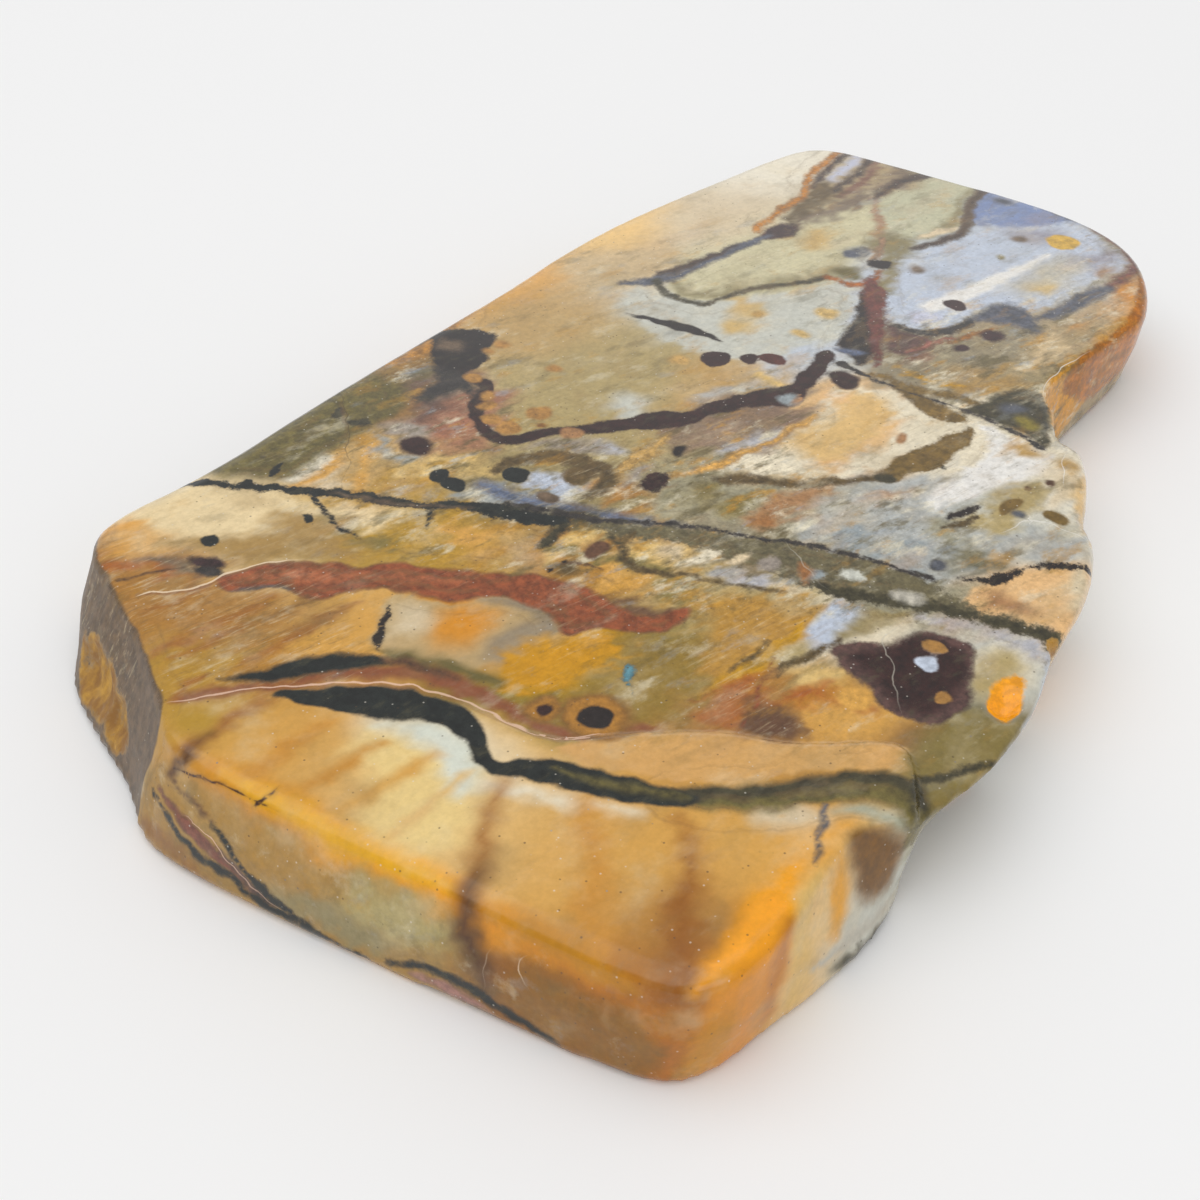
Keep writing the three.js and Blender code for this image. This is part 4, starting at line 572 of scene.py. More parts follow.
darks = dict(
    lens=vein("blackBrown", 0.12, [(-15.7, 10.5, 0.1), (-13.8, 10.8, 0.5), (-12, 10.9, 1.0),
        (-10.4, 11, 1.3), (-9, 11, 1.2), (-7.5, 10.9, 0.7), (-6.2, 10.5, 0.1)], 0.15),
    leftCloud=patch("blackBrown", 0.22, [(-29.5, 0.6), (-27, 0.5), (-26, 1.3), (-25, 1.8), (-24.3, 2),
        (-23, 1.8), (-22.4, 1), (-22.2, 0), (-22.3, -0.9), (-21.5, -1.8), (-21.2, -2.8), (-21.6, -4),
        (-21.2, -5.2), (-22.6, -6), (-24, -4.8), (-25.6, -3.6), (-26.6, -2), (-28, -1), (-30, -0.6)], 0.5),
    wavyVein=vein("maroonDark", 0.15, [(-20.6, -4.9, 1.0), (-19.5, -4.8, 1.3), (-18.9, -5.6, 1.5),
        (-18.8, -6.5, 1.5), (-18.3, -7.6, 1.2), (-17.7, -8.5, 1.1), (-17, -9.3, 1.1), (-16.2, -10.1, 1.1),
        (-15.2, -10.6, 1.1), (-14, -10.6, 1.1), (-13, -10.2, 1.0), (-12.3, -9.4, 1.2), (-11.7, -8.3, 1.2),
        (-10.9, -7.5, 0.9), (-9.6, -6.6, 1.1), (-8.4, -5.4, 1.5), (-6.9, -4.1, 1.6), (-5.7, -2.9, 2.2),
        (-4.6, -1.9, 2.3), (-3.3, -0.8, 1.7), (-2.6, 0.6, 1.5), (-1.8, 2, 1.7), (-0.7, 3.6, 1.9),
        (0.6, 4.8, 2.3), (1.8, 5.9, 2.8), (2.2, 7.4, 1.6), (2.1, 9, 1.7), (2.1, 11, 1.6), (1.9, 13, 1.5)],
        0.3),
    wavyBlob=orb("maroonDark", 0.25, 4.7, 10.4, 1.5, 1.0, -20),
    bandTopLine=vein("charcoal", 0.15, [(-9, -17.2, 0.5), (-5.6, -16.4, 0.5), (-2, -15.5, 0.6),
        (0, -14.5, 0.4), (3, -13.2, 0.4), (6, -12.3, 0.4), (9, -11.5, 0.4), (12, -10.5, 0.4),
        (15, -10, 0.4), (18, -9.8, 0.4), (20.4, -9.7, 0.6)], 0.5),
    bandLowLine=vein("oliveDark", 0.3, [(-1, -16.6, 0.5), (0.4, -17.4, 0.7), (1.2, -18.6, 0.4)], 0.5),
    bandHeart=patch("oliveDark", 0.4, [(13, -14.4), (15, -13.6), (18, -12.8), (20, -12.4), (22, -11.6),
        (25, -11.4), (28.4, -11), (29.4, -10.7), (30.4, -12.4), (28.6, -11.9), (26, -12.2), (22, -13),
        (20, -13.4), (17, -14.4), (15, -14.8)], 0.9),
    thinLine=vein("charcoal", 0.12, [(3.4, 12.6, 0.8), (5.5, 12, 0.5), (8, 11.5, 0.3), (12, 11.3, 0.25),
        (15, 11, 0.3), (18, 10.5, 0.4), (21.4, 9.3, 0.6)], 0.3),
    blueSpot=orb("slate", 0.2, 20.2, -8, 0.6),
    veinOne=vein("greenBlack", 0.14, [(-32, -27.6, 0.5), (-30, -26.8, 0.8), (-28, -25.9, 0.8),
        (-25.5, -24.9, 0.8), (-23, -23.8, 0.9), (-20.5, -22.7, 0.9), (-18.5, -21.9, 1.0),
        (-16.5, -21.5, 1.0), (-15, -20.9, 0.9), (-13.5, -20.3, 0.8), (-12.5, -19.6, 0.9), (-11, -19, 1.0),
        (-9.5, -18.5, 1.3), (-8, -18.2, 1.6), (-6.3, -17.8, 1.6), (-4.6, -17, 1.2)], 0.6),
    veinOneClump=vein("taupe", 0.2, [(-20.8, -22.7, 0.1), (-18.4, -22, 0.35), (-16.4, -21.6, 0.4),
        (-14, -20.5, 0.3), (-11, -19.2, 0.1)], 0.4),
    twigA=vein("greenBlack", 0.12, [(-13.2, -20.6, 0.5), (-12.7, -21.6, 0.4), (-12.3, -22.7, 0.2)], 0.3),
    twigB=vein("greenBlack", 0.12, [(-21.4, -23.8, 0.4), (-20.4, -24.6, 0.4), (-18.4, -25.4, 0.35),
        (-15.6, -26, 0.2)], 0.3),
    dash=vein("blackBrown", 0.08, [(-9.5, -30.8, 0.15), (-9.2, -31.7, 0.4), (-8.8, -32.6, 0.5),
        (-8.3, -33.4, 0.45), (-7.9, -34.2, 0.45), (-7.4, -35, 0.15)], 0.2),
    purplePatch=orb("plumDark", 0.4, -22.9, -33.7, 1.5, 0.6, 8, 0.4),
    purpleDark=orb("charcoal", 0.3, -22.2, -34.3, 1.2, 0.4, 6, 0.4),
    lensTwo=patch("greenBlack", 0.3, [(-14.4, -42.4), (-13.4, -41.3), (-12.2, -39.6), (-11, -38),
        (-9.6, -36.7), (-8.2, -35.9), (-6.8, -35.3), (-5.8, -35.2), (-6.4, -36.1), (-7.4, -37),
        (-8.6, -38.1), (-10, -39.5), (-11.4, -40.7), (-12.8, -41.6)], 0.25),
    lensTwoTail=vein("umber", 0.45, [(-6.4, -35.3, 0.6), (-4.8, -34.8, 0.9), (-3, -34.6, 0.8),
        (-1.4, -34.6, 0.3)], 0.3),
    veinThree=patch("greenBlack", 0.16, [(-10.3, -41.2), (-9, -40.2), (-7.5, -39.1), (-6, -38.1),
        (-4.5, -37.3), (-2.5, -36.8), (-0.5, -36.55), (1, -36.65), (2.2, -37.1), (3, -37.9), (3.8, -38.8),
        (4.6, -39.25), (5.4, -38.9), (6.4, -38), (7.4, -37.4), (9, -37), (11, -36.7), (13, -36.3),
        (14.8, -35.9), (16.4, -35.7), (16.2, -36.7), (14.5, -37.6), (12.5, -38.4), (10.5, -39), (8, -39.5),
        (6.2, -40), (5, -40.45), (4, -40.3), (3, -39.6), (2, -38.9), (0.8, -38.5), (-0.5, -38.6),
        (-2, -39.2), (-3.6, -40.1), (-5, -40.6), (-7, -41), (-9, -41.6), (-10.2, -41.8)], 0.15),
    veinThreeHeart=vein("olive", 0.4, [(8, -38.1, 0.1), (10.6, -37.7, 0.5), (13.4, -36.9, 0.6),
        (15.8, -36.2, 0.4)], 0.3),
    lobeHair=vein("burnt", 0.08, [(-13.1, -50.3, 0.15), (-10.9, -49.8, 0.25), (-8.4, -49.4, 0.2),
        (-6.8, -49.3, 0.15), (-4.2, -49.2, 0.1)], 0.1),
    lobeHairBranch=vein("burnt", 0.08, [(-5.8, -50.1, 0.1), (-5.3, -49, 0.2), (-5, -47.8, 0.1)], 0.1),
    wallLineA=vein("greenBlack", 0.2, [(-15.8, -52.6, 0.3), (-14, -53.8, 0.6), (-12.5, -54.9, 0.6),
        (-11.3, -55.9, 0.7), (-9.6, -56.6, 0.7), (-7.9, -56.8, 0.6), (-6.9, -56.9, 0.6), (-6.1, -57.5, 0.7),
        (-4.5, -57.9, 0.7), (-2, -58, 0.6), (0, -58.1, 0.5), (3, -58.2, 0.3)], 0.3),
    wallLineB=vein("greenBlack", 0.2, [(-8.6, -53.3, 0.3), (-7.8, -53.8, 0.7), (-7, -54.6, 0.7),
        (-6.4, -55.3, 0.6), (-5.4, -56.1, 0.7), (-4.4, -56.7, 0.8), (-3.2, -57.2, 0.7), (-1.5, -57.5, 0.7),
        (-0.2, -57.9, 0.4)], 0.3),
    wallLens=vein("greenBlack", 0.25, [(4.6, -57.6, 0.3), (6.2, -56.7, 0.6), (7.4, -56.3, 0.7),
        (9, -56.2, 0.8), (11, -56.4, 0.9), (13, -56.8, 0.8), (16, -57.4, 0.4)], 0.3),
    cornerHair=vein("brown", 0.12, [(-24, -34.9, 0.1), (-25.4, -36.3, 0.3), (-26.8, -38.4, 0.15)], 0.15),
    bigBlob=patch("plum", 0.22, [(17.5, -19.8), (18.2, -18.8), (19.3, -17.9), (20.7, -17.2), (21.2, -16),
        (22, -15.1), (23.5, -14.6), (25, -14.9), (25.9, -16.2), (26.3, -18), (27, -19.3), (27.1, -20.7),
        (26.5, -22.3), (25, -23.3), (23, -23.2), (21.8, -22.4), (20, -21.4), (18.5, -20.9)], 0.4),
    bigBlobDark=patch("maroonDark", 0.6, [(20.6, -17.6), (21.8, -15.8), (24.4, -15.4), (25.8, -17),
        (26.2, -19.6), (26, -21.4), (24.2, -22.7), (22.2, -21.8), (20.4, -20.6), (19, -19.8)]),
    rightVein=vein("oliveDark", 0.25, [(26.6, -28.4, 0.3), (27.6, -27.4, 0.7), (28.6, -26.2, 0.7),
        (29.6, -25, 0.5), (30.6, -24, 0.4)]),
    maroonRagged=orb("maroonDark", 0.2, -1.2, -9.5, 1.1, 1.25, 15, 0.6),
    spillDark=vein("oliveDark", 0.25, [(-4.1, -17.4, 0.6), (-4.2, -18.6, 0.9), (-4.4, -20.2, 0.6)], 0.5),
    creamDropRim=vein("oliveBrown", 0.2, [(0.2, -15.6, 0.4), (0.7, -17.2, 0.5), (1.5, -18.5, 0.5),
        (3.2, -19, 0.6), (5.4, -18.2, 0.4)], 0.4),
    spillArc=vein("brown", 0.15, [(-2, -21.2, 0.2), (-0.9, -20.4, 0.35), (0.6, -20.3, 0.2)], 0.3),
    lowLine=vein("oliveBrown", 0.2, [(5.6, -17.9, 0.3), (8.5, -17.4, 0.35), (10, -16.8, 0.35),
        (12.4, -16.3, 0.2)], 0.3),
    wavyOliveA=vein("oliveBrown", 0.22, [(17.5, -18.6, 0.3), (16.8, -21, 0.5), (15.9, -22.4, 0.5),
        (15.7, -24.2, 0.3)], 0.4),
    wavyOliveB=vein("oliveBrown", 0.25, [(13.8, -21.2, 0.2), (13.6, -23, 0.4), (12.8, -24.9, 0.25)], 0.4),
    redLine=vein("brick", 0.12, [(14.8, -22.4, 0.15), (15.2, -25, 0.25), (15.7, -27, 0.25),
        (16, -29.2, 0.2)], 0.15),
    eastVein=vein("blackBrown", 0.2, [(22.2, -8.5, 0.4), (23.5, -7.8, 0.8), (24.6, -7.1, 0.8),
        (25, -6, 0.5), (25.9, -4.8, 0.6), (27, -4, 0.7), (28, -3.4, 0.5), (29.6, -2.6, 0.6)], 0.9),
    eastSlit=vein("blackBrown", 0.15, [(20.1, -0.2, 0.3), (19.4, -1.6, 0.6), (18.6, -3, 0.3)], 0.5),
    eastSlitB=vein("oliveBrown", 0.2, [(20.4, -1.6, 0.3), (19.8, -2.8, 0.5), (18.8, -4, 0.3)], 0.5),
    westDotA=orb("oliveDark", 0.2, -24.4, -14.3, 0.9, 0.5, 25, 0.5),
    westDotB=orb("oliveDark", 0.2, -26.7, -14.2, 0.5, 0.8, 25, 0.5),
    westSmoke=patch("charcoal", 0.5, [(-24.6, -4.6), (-22, -4.6), (-20, -5.4), (-19, -7.4), (-20.4, -6.8),
        (-22, -9.4), (-23.2, -9), (-23, -6.4)], 0.6),
    westRim=vein("oliveDark", 0.3, [(-27.9, -0.6, 0.5), (-28.6, -6, 0.6), (-29.3, -12, 0.6),
        (-29.8, -18, 0.4)], 0.4),
    pitA=vein("greenBlack", 0.08, [(-26.4, -21.7, 0.2), (-26, -22.6, 0.5), (-25.8, -23.4, 0.2)], 0.2),
    pitB=orb("greenBlack", 0.08, -26.9, -24.9, 0.35, 0.25, 0, 0.2),
    turquoise=vein("teal", 0.12, [(7.3, -27.8, 0.5), (7.7, -28.6, 0.7), (8.2, -29.4, 0.4),
        (8.9, -30.3, 0.15)]),
    blueLine=vein("slate", 0.2, [(23, -32.4, 0.4), (23.5, -33.6, 0.4), (23.9, -34.8, 0.3),
        (24.2, -35.8, 0.25), (24.5, -36.9, 0.1)], 0.15),
)

inlays = dict(
    creamLens=vein("cream", 0.3, [(0.2, 36, 0.2), (1.6, 38, 1.0), (2.7, 39.8, 0.3)], 0.2),
    blueEye=orb("slateMist", 0.3, 2.2, 5.5, 0.95, 0.75, 10, 0.3),
    blueEyeEdge=vein("clay", 0.15, [(2.7, 6.6, 0.2), (3, 6, 0.5), (2.8, 5.2, 0.2)], 0.2),
    oliveMassPale=orb("slate", 0.6, 17.8, 13.2, 1.2, 0.8, 20),
    oliveMassMoss=orb("moss", 0.5, 19.4, 11.9, 1.1, 0.6, -25),
    cloudCore=orb("taupe", 0.6, -25.2, -1.4, 1.1, 1.0, 10, 0.6),
    bandPaleA=orb("cloud", 0.3, 15.5, -12.1, 0.9, 0.7, 15, 0.6),
    bandPaleB=patch("paleGrey", 0.35, [(18.6, -12.9), (19, -12), (20, -11.6), (20.8, -12), (20.4, -12.8)],
        0.4),
    bandPaleC=orb("lilacGrey", 0.3, 10.2, -13.9, 0.6, 1.0, -20, 0.5),
    bandPaleD=vein("cream", 0.25, [(8.6, -13.8, 0.3), (8.2, -14.6, 0.8), (7.6, -15.4, 0.3)], 0.4),
    bandPaleE=orb("slateMist", 0.3, 13.6, -13.4, 0.6, 0.5, 0, 0.6),
    bandMoss=vein("clayDeep", 0.3, [(12, -12.8, 0.3), (12.7, -13.4, 0.8), (13.4, -14.4, 0.4)], 0.4),
    ringBig=orb("ochreDark", 0.5, 7.9, -33, 2.3, 2.1),
    ringBigInner=orb("ochre", 0.3, 7.9, -33, 1.85, 1.65),
    ringSmall=orb("ochreDark", 0.35, 4.7, -34.1, 1.3, 1.2),
    ringSmallInner=orb("ochre", 0.25, 4.7, -34.1, 0.9, 0.85),
    flankOval=patch("tobacco", 0.8, [(25.3, -33.9), (25.8, -33), (26.7, -32.4), (28.2, -32.1),
        (29.8, -32.1), (31.5, -31.9), (32.3, -32.2), (32.5, -33), (32, -34.1), (30.9, -34.9), (29.4, -35.1),
        (28, -34.7), (26.6, -34.4)], 0.25),
    # the chip at the right rim: amber of the break with painted glow
    rimPitPaintedGlow=patch("amberPaintedGlow", 0.25, [(27.7, -17.9), (28.3, -16.4), (29.2, -16.3), (29.8, -18),
        (29.8, -19.6), (28.9, -19.9), (27.9, -18.9)], 0.4),
    circleGrey=orb("mist", 0.15, 23.5, -17.8, 0.8, 0.75),
    circleTanA=orb("orbTan", 0.15, 23.2, -16.3, 0.85, 0.6),
    circleTanB=orb("orbTan", 0.15, 25.6, -20.5, 0.6),
    chipRing=orb("honey", 0.3, 20.8, -23.4, 1.3, 1.1),
    rightOvalA=orb("mossBrown", 0.2, 25.3, 1.4, 1.0, 0.65, -10),
    rightOvalB=orb("mossBrown", 0.2, 22, 1.0, 0.55, 1.35, -20),
    rightOvalE=orb("slate", 0.3, 23, 0.4, 0.6, 0.4, -20),
)

orbs = dict(
    farYellow=orb("orbYellow", 0.2, 11.9, 42, 1.55, 1.4),
    farSoftA=orb("brownGrey", 0.45, 8.3, 40.6, 0.85, 0.75),
    farSoftB=orb("olivePale", 0.35, 8.2, 36.3, 0.45, 0.55),
    farSoftC=orb("brownGrey", 0.45, 2.6, 30.4, 0.75, 0.65),
    farSoftD=orb("slateDull", 0.5, 4.5, 47, 0.9, 0.6),
    farDarkA=orb("plumDark", 0.15, 7.9, 26.2, 1.0, 0.95),
    farDarkB=orb("plumDark", 0.3, 12.4, 23, 1.0, 0.95, 0, 0.4),
    farDarkC=orb("plumDark", 0.2, 10.8, 19.7, 0.6),
    farDarkD=orb("blackBrown", 0.25, -0.6, 29.6, 1.1, 0.85, 0, 0.4),
    farGrey=orb("slateDull", 0.3, -3.5, 30, 0.8, 0.7),
    tanA=orb("sandGlow", 0.4, -0.9, 19.3, 0.95, 0.9),
    tanB=orb("sandGlow", 0.35, -1.4, 15.2, 0.75, 0.6),
    tanC=orb("ochrePale", 0.35, -5.7, 16.2, 0.65, 0.6),
    midA=orb("maroonDark", 0.12, -5.6, 8, 1.2, 1.3),
    midB=orb("maroonDark", 0.15, -3.2, 9.4, 0.75, 0.85),
    midC=orb("maroon", 0.15, -1.5, 10.3, 1.1, 0.8),
    midTan=orb("ochrePale", 0.4, -8, 6.3, 0.9, 0.75),
    dotA=orb("orbTan", 0.3, -15.9, -0.1, 0.6),
    dotB=orb("orbTan", 0.25, -13.5, -6.2, 0.9, 0.85),
    dotC=orb("orbTan", 0.2, -14.4, -9.1, 1.1, 0.95),
    dotD=orb("orbTan", 0.2, -16.2, -8.7, 0.75),
    dotE=orb("orbTan", 0.2, -17.5, -7.3, 0.65),
    dotF=orb("orbTan", 0.2, -20.8, -4.6, 0.8, 0.6),
    dotI=orb("orbTan", 0.25, -18.3, -6.2, 0.75),
    dotJ=orb("orbTan", 0.35, -21.6, 1, 0.7, 0.5),
    dotK=orb("orbTan", 0.35, -22, -0.5, 0.5),
    dotG=orb("clay", 0.25, -9.9, -7.2, 0.8, 0.7),
    dotH=orb("brownWarm", 0.25, -12.4, -7.4, 0.4),
    flameDot=orb("oliveDark", 0.25, 12.9, -0.4, 0.8, 0.65),
    flameDotB=orb("clay", 0.25, 11.9, 5, 0.45, 0.8, 0),
    orbA=orb("greenBlack", 0.12, -10.5, -14, 1.0, 1.0),
    orbB=orb("greenBlack", 0.12, -13.7, -17.3, 1.05, 0.85),
    orbC=orb("greenBlack", 0.12, -15.3, -17, 0.75, 0.8),
    orbD=orb("maroonDark", 0.3, -18.9, -14.7, 1.35, 1.15, 0, 0.3),
    orbE=orb("blackBrown", 0.25, -1.7, -5.1, 0.4, 0.75),
    orbF=orb("taupe", 0.2, -6.9, -15.2, 0.85, 0.65, 20),
    orbN=orb("umber", 0.2, -0.8, -18.6, 0.75, 1.05),
    orbO=orb("blackBrown", 0.1, -1.9, -20.9, 0.22),
    orbP=orb("blackBrown", 0.1, -2.3, -22.2, 0.2),
    orbG=orb("greenBlack", 0.12, -24.4, -31.6, 0.75, 0.65),
    orbH=orb("greenBlack", 0.12, -20.3, -26, 0.45, 0.35),
    orbI=orb("blackBrown", 0.15, 7.9, -33, 1.15, 1.0),
    orbJ=orb("maroonDark", 0.15, 4.7, -34.1, 0.6, 0.5),
    orbK=orb("brown", 0.2, 23.6, 5.2, 0.5),
    orbL=orb("brown", 0.2, 22.2, 3.8, 0.3),
    orbM=orb("greenBlack", 0.15, 16.1, 3.1, 0.25),
)

# thin healed cracks, drawn by their distance to either side: x, y, full width
cracks = dict(
    mainCrack=dict(tone="crackPink", points=[(-15.6, -45.6, 0.1), (-14.6, -44.6, 0.2), (-13.3, -43.3, 0.22),
        (-11.6, -41.7, 0.24), (-10, -40.4, 0.26), (-8.5, -39.3, 0.26), (-7, -38.3, 0.26),
        (-5.5, -37.4, 0.28), (-4, -36.8, 0.26), (-2, -36.3, 0.24), (0, -36.05, 0.24), (2, -36.1, 0.22),
        (4, -36.2, 0.24), (6, -36.1, 0.24), (7, -35.8, 0.24), (8, -34.9, 0.2), (9, -34, 0.12)]),
    leftCrack=dict(tone="crackCream", points=[(-24.6, -39, 0.1), (-24.2, -38.1, 0.28), (-23.4, -37.5, 0.28),
        (-22.5, -36.8, 0.28), (-21.8, -36, 0.3), (-21.3, -35, 0.3), (-20.9, -33.8, 0.32),
        (-20.2, -32.6, 0.3), (-19.6, -31.8, 0.24), (-18.8, -31, 0.2), (-17.6, -30, 0.1)]),
    wallCrack=dict(tone="crackPink", points=[(-11.8, -53.5, 0.08), (-10.4, -53.8, 0.16), (-9, -54.1, 0.18),
        (-8, -54.9, 0.18), (-7.4, -55.6, 0.18), (-6.1, -56.5, 0.16), (-4.1, -57.4, 0.14),
        (-2.2, -57.9, 0.06)]),
    wallChip=dict(tone="crackCream", points=[(13.5, -50.7, 0.06), (13, -52.6, 0.16), (13.8, -53.9, 0.08)]),
    wallSlit=dict(tone="crackCream", points=[(11.3, -51.4, 0.05), (10.9, -53.2, 0.12), (11.1, -56, 0.08)]),
    blobCrack=dict(tone="paleGrey", points=[(20.8, -14.2, 0.1), (20.2, -17, 0.14), (20.6, -18.4, 0.16),
        (21.3, -18.7, 0.14), (22, -20.2, 0.16), (22.8, -21.3, 0.14), (23.8, -22.8, 0.1)]),
    bandCrack=dict(tone="paleGrey", points=[(9.7, -11, 0.08), (11.5, -12, 0.14), (12.5, -13, 0.14),
        (15.5, -14.6, 0.08)]),
    rightCrackA=dict(tone="white", points=[(24, 0.4, 0.16), (26, 0.4, 0.14), (28.6, 0, 0.12)]),
    rightCrackB=dict(tone="white", points=[(24, 0.4, 0.16), (23, -1.5, 0.14), (22, -3.5, 0.06)]),
    rightCrackC=dict(tone="white", points=[(23.2, 9.2, 0.12), (23.8, 7, 0.16), (24.9, 5.3, 0.08)]),
    facetLine=dict(tone="white", points=[(20.2, 25.2, 0.1), (19.4, 22.6, 0.16), (18.9, 20, 0.18),
        (18.8, 18, 0.16), (19.4, 16, 0.1)]),
    leftHair=dict(tone="oliveBrown", points=[(-28.5, -11.8, 0.15), (-26.5, -13.5, 0.2),
        (-24.5, -15.8, 0.18), (-23, -18, 0.15), (-21.5, -20, 0.12), (-20.3, -22, 0.1)]),
)


def smoothLine(points, closed, steps=5):
    p = np.array(points, float)
    n = len(p)
    line = []
    for i in range(n if closed else n - 1):
        a, b, c, d = [p[(i + k) % n] if closed else p[min(max(i + k, 0), n - 1)] for k in (-1, 0, 1, 2)]
        for t in np.arange(steps) / steps:
            line.append(b + 0.5 * t * (c - a + t * (2 * a - 5 * b + 4 * c - d + t * (3 * b - a - 3 * c + d))))
    if not closed:
        line.append(p[-1])
    return np.array(line)


def alongSegments(q, line):
    # nearest point of the line for every q: distance, side, and half width there
    best = np.full(len(q), 9.0)
    side = np.ones(len(q))
    half = np.zeros(len(q))
    for a, b in zip(line[:-1], line[1:]):
        ab = b[:2] - a[:2]
        away = q - a[:2]
        t = np.clip(away @ ab / (ab @ ab), 0, 1)
        off = away - t[:, None] * ab
        reach = np.hypot(off[:, 0], off[:, 1])
        here = (a[2] + (b[2] - a[2]) * t) / 2
        nearer = reach - here < best - half
        best = np.where(nearer, reach, best)
        side = np.where(nearer, np.sign(ab[0] * away[:, 1] - ab[1] * away[:, 0]), side)
        half = np.where(nearer, here, half)
    return best, side, half


def shapeDistance(shape, q):
    # how far each q is outside the shape; negative inside
    if shape["kind"] == "vein":
        reach, side, half = alongSegments(q, smoothLine(shape["points"], False, 4))
        return reach - half
    if shape["kind"] == "orb":
        turn = math.radians(shape["turn"])
        away = q - np.array(shape["at"])
        u = (away[:, 0] * math.cos(turn) + away[:, 1] * math.sin(turn)) / shape["half"][0]
        v = (away[:, 1] * math.cos(turn) - away[:, 0] * math.sin(turn)) / shape["half"][1]
        k = np.hypot(u, v)
        return (k - 1) * np.hypot(away[:, 0], away[:, 1]) / np.maximum(k, 0.2)
    line = smoothLine(shape["points"], True, 4)
    ring = np.column_stack([line, np.zeros(len(line))])
    reach, side, half = alongSegments(q, np.vstack([ring, ring[:1]]))
    inside = np.zeros(len(q), bool)
    for a, b in zip(line, np.roll(line, -1, axis=0)):
        crosses = (a[1] > q[:, 1]) != (b[1] > q[:, 1])
        rise = b[1] - a[1] if b[1] != a[1] else 1e-9
        inside ^= crosses & (q[:, 0] < a[0] + (q[:, 1] - a[1]) * (b[0] - a[0]) / rise)
    return np.where(inside, -reach, reach)


def shapeBox(shape):
    if shape["kind"] == "orb":
        r = max(shape["half"])
        x, y = shape["at"]
        return x - r, y - r, x + r, y + r
    xs = [p[0] for p in shape["points"]]
    ys = [p[1] for p in shape["points"]]
    return min(xs), min(ys), max(xs), max(ys)


def paintLayer(shapes, q):
    # one distance, one tone and one softness for a whole layer; later shapes lie over earlier ones
    far = 3.0
    distance = np.full(len(q), far)
    nearTone = np.zeros((len(q), 5))
    weight = np.full(len(q), 1e-9)
    overTone = np.zeros((len(q), 5))
    cover = np.zeros(len(q))
    for shape in shapes.values():
        x0, y0, x1, y1 = shapeBox(shape)
        near = np.nonzero((q[:, 0] > x0 - far) & (q[:, 0] < x1 + far) & (q[:, 1] > y0 - far) & (q[:,
            1] < y1 + far))[0]
        if not len(near):
            continue
        d = shapeDistance(shape, q[near])
        tone = np.append(linear(shape["tone"]), (shape["soft"], shape["rag"]))
        w = np.exp(-3.0 * np.clip(d, -2, far))
        nearTone[near] += w[:, None] * tone
        weight[near] += w
        inner = np.clip((shape["soft"] - d) / (2 * shape["soft"]), 0, 1)
        inner = inner * inner * (3 - 2 * inner)
        overTone[near] += inner[:, None] * (tone - overTone[near])
        cover[near] += inner * (1 - cover[near])
        distance[near] = np.minimum(distance[near], d)
    tone = overTone + (1 - cover)[:, None] * nearTone / weight[:, None]
    tone[distance >= far] = (0.5, 0.4, 0.3, 0.3, 0.3)
    return distance, tone[:, :4], tone[:, 4]


def paintGround(q, steady):
    # steady is a truer place than q, for the small shapes
    total = np.zeros((len(q), 3))
    weight = np.full(len(q), 1e-12)
    for tone, x, y, across, along, turn in ground.values():
        a = math.radians(turn)
        u = ((q[:, 0] - x) * math.cos(a) + (q[:, 1] - y) * math.sin(a)) / across
        v = ((q[:, 1] - y) * math.cos(a) - (q[:, 0] - x) * math.sin(a)) / along
        w = np.exp(-1.1 * (u * u + v * v)) + 1e-6 * np.exp(-0.2 * np.sqrt(u * u + v * v))
        total += w[:, None] * linear(tone)
        weight += w
    tones = total / weight[:, None]
    rag = 0.8 * waves(q, 1.7, 21)
    for shape in [*pale.values(), *fields.values()]:
        x0, y0, x1, y1 = shapeBox(shape)
        near = np.nonzero((q[:, 0] > x0 - 3) & (q[:, 0] < x1 + 3) & (q[:, 1] > y0 - 3) & (q[:,
            1] < y1 + 3))[0]
        if len(near):
            loose = min(max((shape["soft"] - 0.3) / 0.9, 0.12), 1)
            d = shapeDistance(shape,
                              steady[near] + loose * (q[near] - steady[near])) + shape["rag"] * rag[near]
            mask = np.clip((shape["soft"] - d) / (2 * shape["soft"]), 0, 1)[:, None]
            tones[near] += mask * mask * (3 - 2 * mask) * (linear(shape["tone"]) - tones[near])
    return tones


def paintCracks(q):
    side = np.full(len(q), 2.0)
    half = np.zeros(len(q))
    tone = np.tile(linear("creamWarm"), (len(q), 1))
    for crack in cracks.values():
        line = smoothLine(crack["points"], False, 6)
        reach, hand, width = alongSegments(q, line)
        nearer = reach < np.abs(side)
        side = np.where(nearer, reach * hand, side)
        fade = np.clip((0.75 - reach) / 0.25, 0, 1)
        half = np.where(nearer, width * fade, half)
        tone[nearer] = linear(crack["tone"])
    return side, half, tone


# the skin: an even, fine mesh laid on the slab's own surface, so that the markings have points to hang on
skin = dict(voxel=0.62, smoothRounds=14, bottomNormal=-0.7, grooveDepth=0.035, grooveReach=0.35,
            scarRough=0.09)

